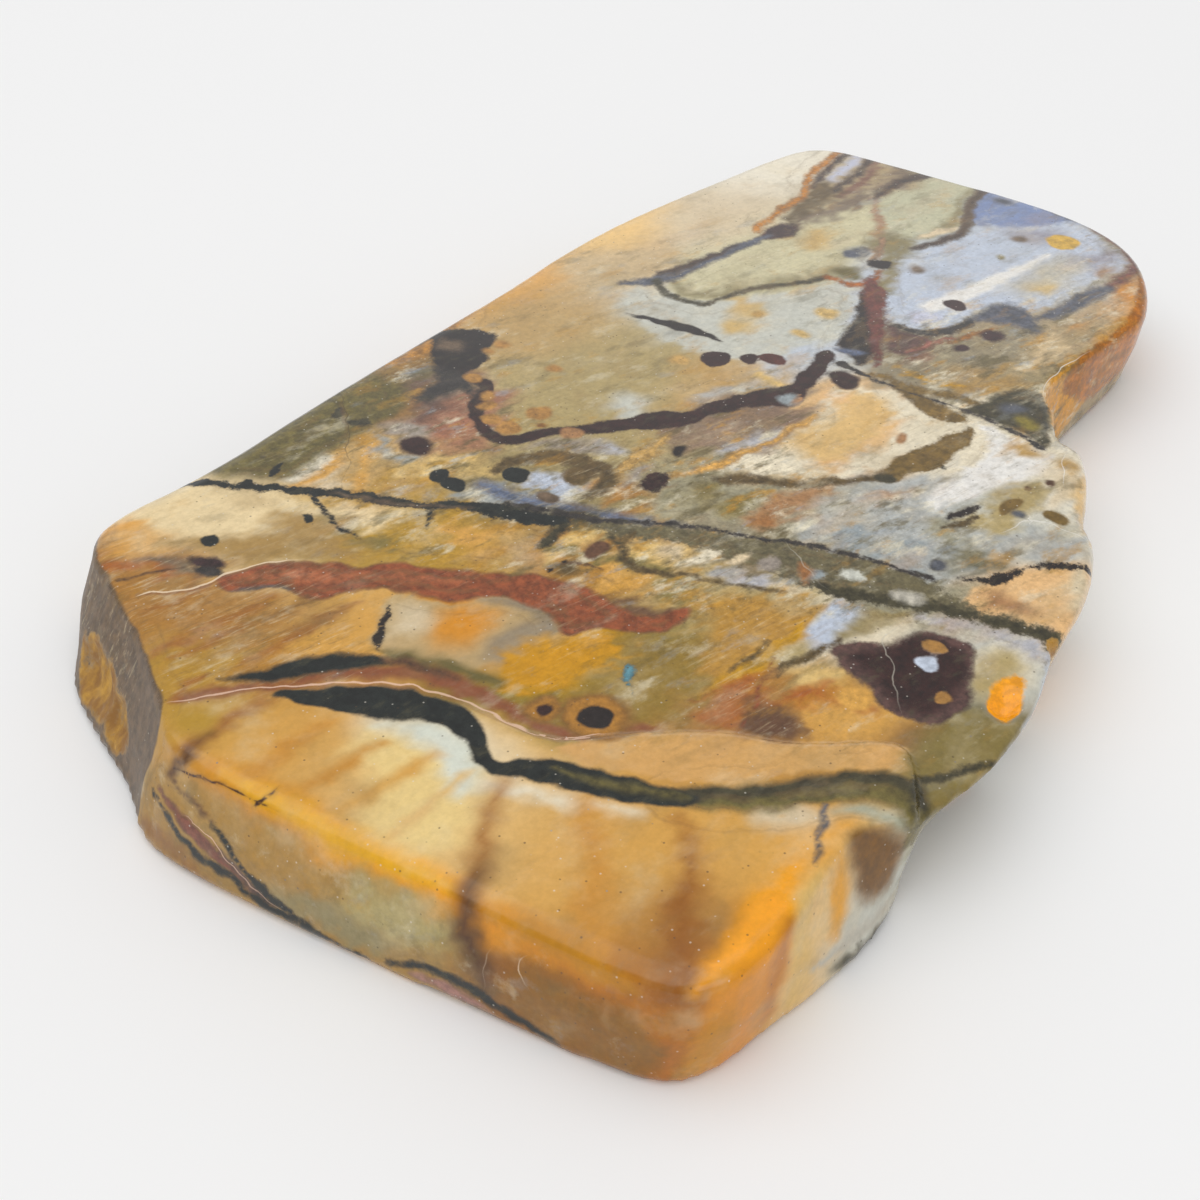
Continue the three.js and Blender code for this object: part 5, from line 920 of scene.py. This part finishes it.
# chipped places, where the break shows the golden inside of the stone: centre, half sizes, turn and tilt
scars = dict(
    facetUpper=dict(at=(-26.1, -43.4, 3.5), half=(4.2, 1.6, 2.5), turn=-29, tilt=-26, golden=True),
    facetLower=dict(at=(-21.6, -45.8, 3.1), half=(2.6, 1.2, 2.0), turn=-40, tilt=-26, golden=True),
    rimPit=dict(at=(28.9, -18.4, 8.0), half=(1.3, 1.8, 1.3), turn=8, tilt=0, golden=False),
    rimNick=dict(at=(30.4, -11.6, 7.6), half=(1.1, 0.8, 1.6), turn=-20, tilt=0, golden=True),
)
stepLine = [(-4, -36.6), (0, -36.05), (4.5, -36.2), (7.2, -35.6), (9, -34.2), (12, -32), (15.5, -29.95),
            (18.6, -29),
            (21.4, -27.4), (23.8, -25.75), (25.2, -25.6), (26.2, -26.8), (27.2, -28.7), (28.4, -31.2)]


def cadSurface():
    made = bpy.data.objects["slab"].data.copy()
    mesh = bmesh.new()
    mesh.from_mesh(made)
    bmesh.ops.remove_doubles(mesh, verts=mesh.verts, dist=0.002 * mm)
    mesh.to_mesh(made)
    tree = BVHTree.FromBMesh(mesh)
    mesh.free()
    return made, tree


def evenMesh(source):
    holder = bpy.data.objects.new("stoneBlank", source)
    bpy.context.scene.collection.objects.link(holder)
    remesh = holder.modifiers.new("even", "REMESH")
    remesh.mode = "VOXEL"
    remesh.voxel_size = skin["voxel"] * mm
    made = bpy.data.meshes.new_from_object(holder.evaluated_get(bpy.context.evaluated_depsgraph_get()))
    bpy.data.objects.remove(holder)
    return made


def splitUpperFaces(mesh):
    upper = [f for f in mesh.faces if f.normal.z > skin["bottomNormal"]]
    edges = list({e for f in upper for e in f.edges})
    bmesh.ops.subdivide_edges(mesh, edges=edges, cuts=1, use_grid_fill=True)
    bmesh.ops.triangulate(mesh, faces=[f for f in mesh.faces if len(f.verts) > 4])


def neighbours(mesh):
    pairs = np.array([[v.index for v in e.verts] for e in mesh.edges])
    count = np.bincount(pairs.ravel(), minlength=len(mesh.verts)).astype(float)
    return pairs, count


def averaged(values, pairs, count):
    total = np.zeros_like(values)
    np.add.at(total, pairs[:, 0], values[pairs[:, 1]])
    np.add.at(total, pairs[:, 1], values[pairs[:, 0]])
    return total / count[:, None]


def layoutPoints(places):
    return places / mm - np.array([layoutShift[0], layoutShift[1], 0.0])


def topDip(q):
    level = dip["depth"] + dip["perX"] * (q[:, 0] - dip["atX"]) + dip["perY"] * (q[:, 1] - dip["atY"])
    stepX, stepY = np.array(stepLine).T
    beyond = (q[:, 1] > np.interp(q[:, 0], stepX, stepY)) & (q[:, 0] > stepX[0])
    return np.where(beyond, np.clip(level, 0, 1), 0)


def inScar(p, scar):
    turn, tilt = math.radians(scar["turn"]), math.radians(scar["tilt"])
    away = p - np.array(scar["at"])
    x = away[:, 0] * math.cos(turn) + away[:, 1] * math.sin(turn)
    y = away[:, 1] * math.cos(turn) - away[:, 0] * math.sin(turn)
    z = away[:, 2]
    y, z = y * math.cos(tilt) + z * math.sin(tilt), z * math.cos(tilt) - y * math.sin(tilt)
    a, b, c = scar["half"]
    return np.sqrt((x / a) ** 2 + (y / b) ** 2 + (z / c) ** 2) + 0.11 * waves(p, 4.2, 31) + 0.05 * waves(p,
        1.5, 32)


def waves(p, scale, seed):
    # smooth seeded noise, mostly between -1 and 1
    rng = np.random.default_rng(seed)
    total = np.zeros(len(p))
    for turn in range(18):
        direction = rng.normal(size=p.shape[1])
        direction /= np.linalg.norm(direction)
        reach = rng.uniform(0.45, 1.9)
        total += np.sin(p @ direction * reach * 2 * math.pi / scale + rng.uniform(0, 6.28)) / (0.6 + reach)
    return total / 3.4


def laySkin():
    source, surface = cadSurface()
    even = evenMesh(source)
    mesh = bmesh.new()
    mesh.from_mesh(even)
    mesh.normal_update()
    splitUpperFaces(mesh)
    mesh.verts.ensure_lookup_table()
    places = np.array([v.co[:] for v in mesh.verts])
    places = np.array([surface.find_nearest(Vector(p))[0][:] for p in places])
    pairs, count = neighbours(mesh)
    sharp = alongSegments(layoutPoints(places)[:, :2],
                          np.array([(x, y, 0) for x, y in smoothLine(stepLine, False)]))[0]
    onTop = layoutPoints(places)[:, 2] > topHeight - 1.6
    hold = np.where(onTop & (sharp < 1.0), np.clip(sharp - 0.25, 0.12, 1), 1.0)[:, None]
    for turn in range(skin["smoothRounds"]):
        for strength in (0.5, -0.53):
            places = places + strength * hold * (averaged(places, pairs, count) - places)
    for v, p in zip(mesh.verts, places):
        v.co = p
    mesh.normal_update()
    normals = np.array([v.normal[:] for v in mesh.verts])
    return mesh, places, normals, pairs, count


def unrolled(p, normals):
    # the walls are painted as if they were folded out flat round the top
    level = np.hypot(normals[:, 0], normals[:, 1])
    outward = normals[:, :2] / np.maximum(level, 0.05)[:, None]
    dipped = topDip(p[:, :2])
    depth = np.clip(topHeight - dipped - p[:, 2], 0, topHeight)
    eye = np.array(drawnFrom[:2])
    reach = drawnFrom[2] - topHeight
    q = eye + (p[:, :2] - eye) * (reach / (reach + dipped))[:, None] + outward * depth[:, None]
    under = normals[:, 2] < skin["bottomNormal"]
    q[under] = p[under, :2] + np.array([2.0, 1.6])
    return q


def addFloats(mesh, name, values):
    mesh.attributes.new(name, "FLOAT", "POINT").data.foreach_set("value",
        np.ascontiguousarray(values, np.float32))


def addTones(mesh, name, values):
    if values.shape[1] == 3:
        values = np.column_stack([values, np.ones(len(values))])
    mesh.attributes.new(name, "FLOAT_COLOR", "POINT").data.foreach_set("color",
        np.ascontiguousarray(values, np.float32).ravel())


def carve(p, normals, side, half):
    # healed cracks are fine grooves, and the chipped places are a little uneven
    groove = np.where(half > 0.03, np.clip(1 - np.abs(side) / skin["grooveReach"], 0, 1), 0.0)
    move = -skin["grooveDepth"] * groove
    for scar in scars.values():
        rough = np.clip((1.08 - inScar(p, scar)) / 0.08, 0, 1)
        ripple = np.sin((p[:, 0] * 0.8 - p[:, 1] * 0.9 + p[:, 2]) * 3.2 + waves(p, 2.2, 5)) * 0.5
        move += skin["scarRough"] * rough * (ripple + waves(p, 1.1, 6) * 0.7 - 0.3)
    return move


# how mottled and how fibrous the stone is: x, y, reach across and along, mottling, fibres
busyFields = dict(
    farLeft=(-20, 40, 7, 8, 0.12, 0.1), farPocket=(-9, 26, 5, 7, 0.35, 0.3), farSage=(-2, 40, 5, 6, 0.35,
        0.2),
    farBlue=(6, 44, 4, 4, 0.3, 0.2), farMist=(8, 34, 5, 7, 0.25, 0.3), farRight=(16, 38, 3, 6, 0.6, 0.6),
    tanField=(15, 23, 6, 6, 0.9, 0.9), leftWheat=(-20, 6, 6, 6, 0.35, 0.25), khakiHeart=(-9, 2, 7, 7, 0.35,
        0.3),
    cloudBand=(-6, 13, 7, 3, 0.3, 0.2), charcoal=(3, 18, 2.5, 5, 0.5, 0.3), goldDiagonal=(0, -2, 4, 7, 1.0,
        1.0),
    flame=(9, 4, 4, 5, 0.3, 0.5), whiteRight=(20, 4, 4, 5, 0.4, 0.7), oliveMass=(17, 12, 4, 2.5, 0.9, 0.5),
    mistRight=(16, -5, 6, 4, 0.8, 0.5), farCorner=(25, -1, 4, 6, 0.6, 0.4), leftBand=(-24, -12, 6, 8, 1.0,
        0.5),
    midBand=(-8, -12, 9, 4, 1.0, 0.7), greenField=(5, -9, 7, 4, 1.0, 0.6), darkBand=(14, -13, 14, 2.5, 1.0,
        0.3),
    belowBand=(0, -18, 8, 3, 1.0, 0.8), leftCream=(-26, -29, 5, 4, 0.2, 0.2), mustardField=(-12, -22, 8, 3,
        0.7, 0.5),
    brickSeam=(-12, -29, 8, 2, 0.25, 0.3), ochreLeft=(-20, -38, 8, 4, 0.35, 1.0), pocket=(-4, -31, 5, 3,
        0.1, 0.05),
    goldTongue=(4, -29, 3, 4, 0.4, 0.5), mossTongue=(9, -27, 4, 4, 0.5, 0.6), ochreRight=(15, -25, 5, 4,
        0.5, 0.6),
    darkBlob=(23, -19, 4, 4, 0.3, 0.05), rightEdge=(28, -20, 3, 8, 0.25, 0.1), ledge=(18, -31, 8, 2, 0.2,
        0.1),
    lobe=(2, -45, 10, 5, 0.06, 0.0), lobeRight=(18, -42, 8, 6, 0.08, 0.0), frontWall=(0, -55, 20, 3, 0.3,
        0.1),
    flank=(30, -38, 4, 8, 0.12, 0.0))


def paintBusy(q):
    total = np.zeros((len(q), 2))
    weight = np.full(len(q), 1e-12)
    for x, y, across, along, busy, fibre in busyFields.values():
        w = np.exp(-1.3 * (((q[:, 0] - x) / across) ** 2 + ((q[:, 1] - y) / along) ** 2)) + 1e-9
        total += w[:, None] * np.array([busy, fibre])
        weight += w
    return total / weight[:, None]


# the grain of the stone runs this way; the soft fields feather out along it
grain = dict(turn=math.radians(23), fine=1.1, broad=3.2, long=16.0, reach=1.1)


def makeStone():
    mesh, places, normals, pairs, count = laySkin()
    p = layoutPoints(places)
    smooth = normals.copy()
    for turn in range(6):
        smooth = averaged(smooth, pairs, count)
        smooth /= np.linalg.norm(smooth, axis=1)[:, None]
    q = unrolled(p, smooth)
    q = q + 0.17 * np.column_stack([waves(q, 2.3, 11), waves(q, 2.1, 12)])
    drift = np.column_stack([waves(q, 7.0, 13), waves(q, 6.5, 14)])
    along = np.array([math.sin(grain["turn"]), math.cos(grain["turn"])])
    across = q @ np.array([along[1], -along[0]])
    runs = np.column_stack([across / grain["fine"], q @ along / grain["long"]])
    wide = np.column_stack([across / grain["broad"], q @ along / (1.6 * grain["long"])])
    busy = paintBusy(q)
    feathered = q + along * (busy.max(axis=1) * grain["reach"] * (waves(runs, 1.0, 15) + 1.4 * waves(wide,
        1.0, 16)))[:, None]
    side, half, crackTone = paintCracks(q)
    places = places + normals * (carve(p, normals, side, half) * mm)[:, None]
    places[:, 2] = np.clip(places[:, 2], cadBox[0][2], cadBox[1][2])
    for v, place in zip(mesh.verts, places):
        v.co = place
    made = bpy.data.meshes.new("stoneSkin")
    mesh.to_mesh(made)
    mesh.free()
    made.polygons.foreach_set("use_smooth", [True] * len(made.polygons))
    addTones(made, "groundTone", paintGround(feathered + (0.3 + 1.2 * busy[:, :1]) * drift, q))
    addFloats(made, "busy", busy[:, 0])
    addFloats(made, "fibrous", busy[:, 1])
    for name, shapes in dict(bands=bands, darks=darks, inlays=inlays, orbs=orbs).items():
        distance, tone, rag = paintLayer(shapes, q)
        addFloats(made, name + "Edge", distance)
        addFloats(made, name + "Rag", rag)
        addTones(made, name + "Tone", tone)
    addFloats(made, "crackSide", side)
    addFloats(made, "crackHalf", half)
    addTones(made, "crackTone", crackTone)
    scarred = np.min([inScar(p, scar) for scar in scars.values() if scar["golden"]], axis=0)
    addFloats(made, "scarReach", np.clip(scarred, 0, 3))
    facet = np.clip((smooth @ np.array([-0.50, -0.78, 0.37]) - 0.86) / 0.08, 0,
                    1) * (p[:, 0] < -14) * (p[:, 1] < -33)
    addFloats(made, "brokenFacet", facet)
    made.update()
    return bpy.data.objects.new("jasperSlab", made)


def shaderNode(tree, kind, inputs=None, **settings):
    made = tree.nodes.new(kind)
    for name, value in settings.items():
        setattr(made, name, value)
    for name, value in (inputs or {}).items():
        if isinstance(value, bpy.types.NodeSocket):
            tree.links.new(value, made.inputs[name])
        else:
            made.inputs[name].default_value = value
    return made


def sums(tree, operation, a, b=0.0, c=0.0, clamp=False):
    made = shaderNode(tree, "ShaderNodeMath", {0: a, 1: b, 2: c}, operation=operation, use_clamp=clamp)
    return made.outputs[0]


def ramped(tree, value, low, high, toLow=0.0, toHigh=1.0):
    made = shaderNode(tree, "ShaderNodeMapRange", {
        "Value": value, "From Min": low, "From Max": high, "To Min": toLow, "To Max": toHigh},
        interpolation_type="SMOOTHSTEP")
    return made.outputs["Result"]


def blended(tree, factor, a, b, blendType="MIX"):
    made = tree.nodes.new("ShaderNodeMix")
    made.data_type = "RGBA"
    made.blend_type = blendType
    for socket, value in ((0, factor), (6, a), (7, b)):
        if isinstance(value, bpy.types.NodeSocket):
            tree.links.new(value, made.inputs[socket])
        else:
            made.inputs[socket].default_value = value
    return made.outputs[2]


def attribute(tree, name):
    return shaderNode(tree, "ShaderNodeAttribute", attribute_name=name)


def noise(tree, vector, scale, detail=2.0, roughness=0.5, seed=0.0):
    made = shaderNode(tree, "ShaderNodeTexNoise", noise_dimensions="4D")
    tree.links.new(vector, made.inputs["Vector"])
    for name, value in (("Scale", scale), ("Detail", detail), ("Roughness", roughness), ("W", seed)):
        made.inputs[name].default_value = value
    return made.outputs["Fac"]


stoneFinish = dict(
    deepen=1.14, saturate=1.06, mottleSize=(1.9, 4.2, 2.0),
    mixes=[((0.15, 0.12, 0.05, 1), 0.53, 0.66, 0.75, 3.1), ((0.80, 0.74, 0.58, 1), 0.54, 0.68, 0.75, 7.7),
           ((0.56, 0.31, 0.06, 1), 0.55, 0.68, 0.65, 12.3), ((0.36, 0.40, 0.44, 1), 0.56, 0.70, 0.55, 17.9)],
    ragWide=2.0, ragFine=0.8, mottle=dict(bands=0.35, darks=0.40, inlays=0.20, orbs=0.25),
    fibreSize=(0.34, 2.6, 1.0), veinMoss=(0.105, 0.095, 0.055, 1), veinDeep=(0.012, 0.012, 0.012,
        1), speckWhite=0.5, speckDark=0.6,
    polishRough=0.20, facetRough=0.48, scarRough=0.27, crackRough=0.4, ior=1.54, bump=0.05,
    tints=[((0.30, 0.24, 0.11, 1), 0.50, 0.70, 0.40, 23.1), ((0.62, 0.42, 0.28, 1), 0.52, 0.72, 0.35, 27.7),
           ((0.66, 0.60, 0.44, 1), 0.52, 0.72, 0.35, 31.9)],
    scarTone=(0.33, 0.17, 0.045, 1), scarEdge=(0.60, 0.40, 0.18, 1),
    cloudPale=(0.80, 0.70, 0.50, 1),
    cloudDark=(0.33, 0.22, 0.09, 1),
    edgeLine=(0.06, 0.04, 0.03, 1),
    lineTone=(0.20, 0.13, 0.06, 1),
    fibrePale=(0.80, 0.68, 0.46, 1),
    fibreDark=(0.22, 0.14, 0.06, 1),
    dotPale=(0.84, 0.80, 0.72, 1),
    dotDark=(0.09, 0.06, 0.035, 1),
    # the next tone is painted shade along one side of the cracks
    crackShade=(0.24, 0.09, 0.04, 1),
    scarPale=(0.66, 0.40, 0.10, 1))


def stoneMaterial():
    look = stoneFinish
    material = bpy.data.materials.new("polishedJasper")
    material.use_nodes = True
    tree = material.node_tree
    tree.nodes.clear()
    place = shaderNode(tree, "ShaderNodeTexCoord").outputs["Object"]
    inMm = shaderNode(tree, "ShaderNodeMapping",
                      {"Vector": place, "Scale": (1000, 1000, 1000)}).outputs["Vector"]

    # ragged edges for the markings
    wide = sums(tree, "SUBTRACT", noise(tree, inMm, 0.75, 5, 0.62), 0.5)
    fine = sums(tree, "SUBTRACT", noise(tree, inMm, 3.0, 4, 0.65), 0.5)
    rag = sums(tree, "ADD", sums(tree, "MULTIPLY", wide, look["ragWide"]),
               sums(tree, "MULTIPLY", fine, look["ragFine"]))

    colour = attribute(tree, "groundTone").outputs["Color"]

    # mottling and fibres in the ground, along the grain
    busy = attribute(tree, "busy").outputs["Fac"]
    fibrous = attribute(tree, "fibrous").outputs["Fac"]
    cloudy = noise(tree, inMm, 0.22, 4, 0.55)
    colour = blended(tree, ramped(tree, cloudy, 0.52, 0.80, 0.0, 0.40), colour, look["cloudPale"])
    colour = blended(tree, ramped(tree, cloudy, 0.48, 0.25, 0.0, 0.35), colour, look["cloudDark"])
    slanted = shaderNode(tree, "ShaderNodeMapping", {
        "Vector": inMm, "Rotation": (0, 0, -grain["turn"]),
        "Scale": look["mottleSize"]}, vector_type="TEXTURE").outputs["Vector"]
    alongGrain = shaderNode(tree, "ShaderNodeMapping", {
        "Vector": inMm, "Rotation": (0, 0, -grain["turn"]),
        "Scale": look["fibreSize"]}, vector_type="TEXTURE").outputs["Vector"]
    fibres = noise(tree, alongGrain, 1.0, 6, 0.66)
    patchy = noise(tree, inMm, 0.16, 3, 0.5)
    fibreShare = sums(tree, "MULTIPLY", ramped(tree, patchy, 0.42, 0.58, 0.1, 1.0), fibrous)
    lightFibre = sums(tree, "MULTIPLY", ramped(tree, fibres, 0.52, 0.68), fibreShare)
    darkFibre = sums(tree, "MULTIPLY", ramped(tree, fibres, 0.49, 0.34), fibreShare)
    mixes = []
    for tone, low, high, share, seed in look["mixes"]:
        mixes.append((sums(tree, "MULTIPLY", ramped(tree, noise(tree, slanted, 1.0, 7, 0.62, seed), low,
                                                    high, 0, share), busy), tone))
    for share, tone in mixes:
        colour = blended(tree, share, colour, tone)
    # broad, faint changes of hue
    hazy = sums(tree, "MULTIPLY_ADD", busy, 0.8, 0.2)
    for tone, low, high, share, seed in look["tints"]:
        tint = ramped(tree, noise(tree, slanted, 0.55, 6, 0.6, seed), low, high, 0, share)
        colour = blended(tree, sums(tree, "MULTIPLY", tint, hazy), colour, tone)

    shade = noise(tree, inMm, 1.3, 5, 0.65)
    mossy = noise(tree, slanted, 2.4, 5, 0.65, 5.3)
    for name in ("bands", "darks", "inlays", "orbs"):
        edge = attribute(tree, name + "Edge").outputs["Fac"]
        tone = attribute(tree, name + "Tone")
        soft = tone.outputs["Alpha"]
        reach = sums(tree, "MULTIPLY_ADD", rag, attribute(tree, name + "Rag").outputs["Fac"], edge)
        mask = ramped(tree, reach, soft, sums(tree, "MULTIPLY", soft, -1.0))
        inner = shaderNode(tree, "ShaderNodeHueSaturation", {
            "Color": tone.outputs["Color"], "Value": ramped(tree, shade, 0.3, 0.7, 1 - look["mottle"][name],
                1 + look["mottle"][name])})
        inside = inner.outputs["Color"]
        if name == "darks":
            inside = blended(tree, ramped(tree, mossy, 0.50, 0.72, 0.0, 0.55), inside, look["veinMoss"])
            inside = blended(tree, ramped(tree, mossy, 0.46, 0.30, 0.0, 0.45), inside, look["veinDeep"])
        colour = blended(tree, mask, colour, inside)
        if name in ("bands", "darks"):
            # a darker line along the edge
            rim = sums(tree, "MULTIPLY", ramped(tree, sums(tree, "ABSOLUTE", reach), 0.26, 0.02),
                       ramped(tree, soft, 0.6, 0.2))
            colour = blended(tree, sums(tree, "MULTIPLY", rim, 0.16), colour, look["edgeLine"])
        if name == "bands":
            # fine lines that follow the veins
            lines = noise(tree, shaderNode(tree, "ShaderNodeCombineXYZ", {
                "X": sums(tree, "MULTIPLY", reach, 1.7), "Y": sums(tree, "MULTIPLY", patchy,
                    4.0)}).outputs["Vector"], 1.0, 3, 0.6)
            near = ramped(tree, edge, 2.6, 0.4)
            colour = blended(tree, sums(tree, "MULTIPLY", ramped(tree, lines, 0.50, 0.34), sums(tree,
                "MULTIPLY", near, 0.35)),
                             colour, look["lineTone"])
            for share, mixTone in mixes:
                colour = blended(tree, sums(tree, "MULTIPLY", share, 0.45), colour, mixTone)
            colour = blended(tree, sums(tree, "MULTIPLY", lightFibre, 0.45), colour, look["fibrePale"])
            colour = blended(tree, sums(tree, "MULTIPLY", darkFibre, 0.50), colour, look["fibreDark"])

    # fine mottling, then pale and dark grains
    mottle = noise(tree, inMm, 2.2, 6, 0.68)
    level = sums(tree, "MULTIPLY_ADD", busy, 0.20, 0.05)
    bright = shaderNode(tree, "ShaderNodeHueSaturation", {
        "Color": colour, "Value": sums(tree, "MULTIPLY_ADD", ramped(tree, mottle, 0.25, 0.75, -1.0, 1.0),
                                       level, 1.0)}).outputs["Color"]
    dots = shaderNode(tree, "ShaderNodeTexVoronoi", {"Vector": inMm, "Scale": 3.2, "Randomness": 1.0},
                      feature="F1")
    chosen = shaderNode(tree, "ShaderNodeSeparateColor", {"Color": dots.outputs["Color"]}).outputs
    paleDot = sums(tree, "MULTIPLY", ramped(tree, dots.outputs["Distance"], 0.30, 0.08),
                   ramped(tree, chosen["Red"], 0.93, 0.96))
    darkDot = sums(tree, "MULTIPLY", ramped(tree, dots.outputs["Distance"], 0.34, 0.10),
                   ramped(tree, chosen["Green"], 0.95, 0.98))
    colour = blended(tree, sums(tree, "MULTIPLY", paleDot, look["speckWhite"]), bright, look["dotPale"])
    colour = blended(tree, sums(tree, "MULTIPLY", darkDot, look["speckDark"]), colour, look["dotDark"])

    # healed cracks, with a painted shade line along one side of each
    crackSide = sums(tree, "MULTIPLY_ADD", fine, 0.08, attribute(tree, "crackSide").outputs["Fac"])
    crackReach = sums(tree, "ABSOLUTE", crackSide)
    crackHalf = sums(tree, "MULTIPLY", attribute(tree, "crackHalf").outputs["Fac"], 0.62)
    crack = sums(tree, "MULTIPLY",
                 ramped(tree, crackReach, sums(tree, "ADD", crackHalf, 0.04),
                        sums(tree, "SUBTRACT", crackHalf, 0.05)),
                 ramped(tree, crackHalf, 0.02, 0.06))
    crackShade = sums(tree, "MULTIPLY", ramped(tree, sums(tree, "ABSOLUTE", sums(tree, "ADD", crackSide,
        0.22)), 0.26, 0.04),
                      ramped(tree, crackHalf, 0.04, 0.09))
    colour = blended(tree, sums(tree, "MULTIPLY", crackShade, 0.45), colour, look["crackShade"])
    colour = blended(tree, sums(tree, "MULTIPLY", crack, 0.75), colour,
                     attribute(tree, "crackTone").outputs["Color"])

    # the broken facet and the chipped places
    facet = attribute(tree, "brokenFacet").outputs["Fac"]
    scarReach = attribute(tree, "scarReach").outputs["Fac"]
    scarEdge = sums(tree, "MULTIPLY_ADD", rag, 0.26, scarReach)
    rim = ramped(tree, scarEdge, 1.20, 1.08)
    heart = ramped(tree, scarEdge, 1.16, 0.98)
    scarTone = blended(tree, ramped(tree, noise(tree, slanted, 1.2, 5, 0.6, 9.1), 0.40, 0.66),
                       look["scarTone"], look["scarPale"])
    colour = blended(tree, sums(tree, "MULTIPLY", rim, 0.45), colour, look["scarEdge"])
    colour = blended(tree, sums(tree, "MULTIPLY", heart, 0.95), colour, scarTone)

    roughness = ramped(tree, mottle, 0.3, 0.7, look["polishRough"] - 0.03, look["polishRough"] + 0.05)
    roughness = sums(tree, "MULTIPLY_ADD", facet, look["facetRough"] - look["polishRough"], roughness)
    roughness = sums(tree, "MULTIPLY_ADD", crack, look["crackRough"] - look["polishRough"], roughness)
    roughness = sums(tree, "MULTIPLY_ADD", heart, look["scarRough"] - look["polishRough"], roughness,
                     clamp=True)

    height = sums(tree, "MULTIPLY_ADD", facet, sums(tree, "MULTIPLY", noise(tree, inMm, 1.6, 6, 0.7), 4.0),
                  sums(tree, "MULTIPLY", noise(tree, inMm, 0.5, 3, 0.5), 0.35))
    height = sums(tree, "MULTIPLY_ADD", crack, -0.8, height)
    bump = shaderNode(tree, "ShaderNodeBump", {"Height": height, "Strength": look["bump"],
                                               "Distance": 0.0004})

    # polish deepens the tones
    deep = shaderNode(tree, "ShaderNodeGamma", {"Color": colour, "Gamma": look["deepen"]}).outputs["Color"]
    colour = shaderNode(tree, "ShaderNodeHueSaturation",
                        {"Color": deep, "Saturation": look["saturate"]}).outputs["Color"]
    body = shaderNode(tree, "ShaderNodeBsdfPrincipled", {
        "Base Color": colour, "Roughness": roughness, "IOR": look["ior"], "Normal": bump.outputs["Normal"]})
    out = shaderNode(tree, "ShaderNodeOutputMaterial")
    tree.links.new(body.outputs["BSDF"], out.inputs["Surface"])
    return material


def makeFloor():
    mesh = bmesh.new()
    bmesh.ops.create_grid(mesh, x_segments=2, y_segments=2, size=1.5)
    made = bpy.data.meshes.new("studioFloor")
    mesh.to_mesh(made)
    mesh.free()
    floor = bpy.data.objects.new("studioFloor", made)
    bpy.context.scene.collection.objects.link(floor)
    material = bpy.data.materials.new("palePaper")
    material.use_nodes = True
    paper = material.node_tree.nodes["Principled BSDF"]
    paper.inputs["Base Color"].default_value = (0.92, 0.92, 0.92, 1)
    paper.inputs["Roughness"].default_value = 0.9
    made.materials.append(material)
    return floor


def softLight(name, at, aim, size, power, tone=(1, 1, 1)):
    data = bpy.data.lights.new(name, "AREA")
    data.shape = "RECTANGLE"
    data.size, data.size_y = size
    data.energy = power
    data.color = tone
    lamp = bpy.data.objects.new(name, data)
    lamp.location = at
    lamp.rotation_euler = (Vector(aim) - Vector(at)).to_track_quat("-Z", "Y").to_euler()
    bpy.context.scene.collection.objects.link(lamp)


studio = dict(worldStrength=0.55, cameraAt=(47.643, -95.514, 78.0), cameraLens=49.5, cameraTilt=50.5,
              cameraTurn=31.0)


lamps = dict(
    backBox=dict(at=(-0.26, 0.43, 0.22), aim=(0, 0.03, 0), size=(0.70, 0.20), power=0.20),
    topBox=dict(at=(-0.15, -0.15, 0.90), aim=(0, 0, 0), size=(1.30, 1.30), power=5.0),
    rightBox=dict(at=(0.45, -0.22, 0.25), aim=(0, 0, 0), size=(0.30, 0.30), power=0.35),
)


def makeStudio():
    scene = bpy.context.scene
    world = bpy.data.worlds.new("paleStudio")
    scene.world = world
    world.use_nodes = True
    world.node_tree.nodes["Background"].inputs["Color"].default_value = (1, 1, 1, 1)
    world.node_tree.nodes["Background"].inputs["Strength"].default_value = studio["worldStrength"]
    for name, lamp in lamps.items():
        softLight(name, **lamp)
    data = bpy.data.cameras.new("photoView")
    data.lens = studio["cameraLens"]
    data.sensor_width = 36
    data.sensor_fit = "HORIZONTAL"
    data.clip_start = 0.001
    camera = bpy.data.objects.new("photoView", data)
    camera.location = [v * mm for v in studio["cameraAt"]]
    camera.rotation_euler = (math.radians(studio["cameraTilt"]), 0, math.radians(studio["cameraTurn"]))
    scene.collection.objects.link(camera)
    scene.camera = camera
    scene.view_settings.view_transform = "Standard"


print("stone")
stone = makeStone()
bpy.context.scene.collection.objects.link(stone)
stone.data.materials.append(stoneMaterial())
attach(stone, "root")
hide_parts("slab")
print("stone triangles", sum(len(f.vertices) - 2 for f in stone.data.polygons))

print("studio")
makeFloor()
makeStudio()
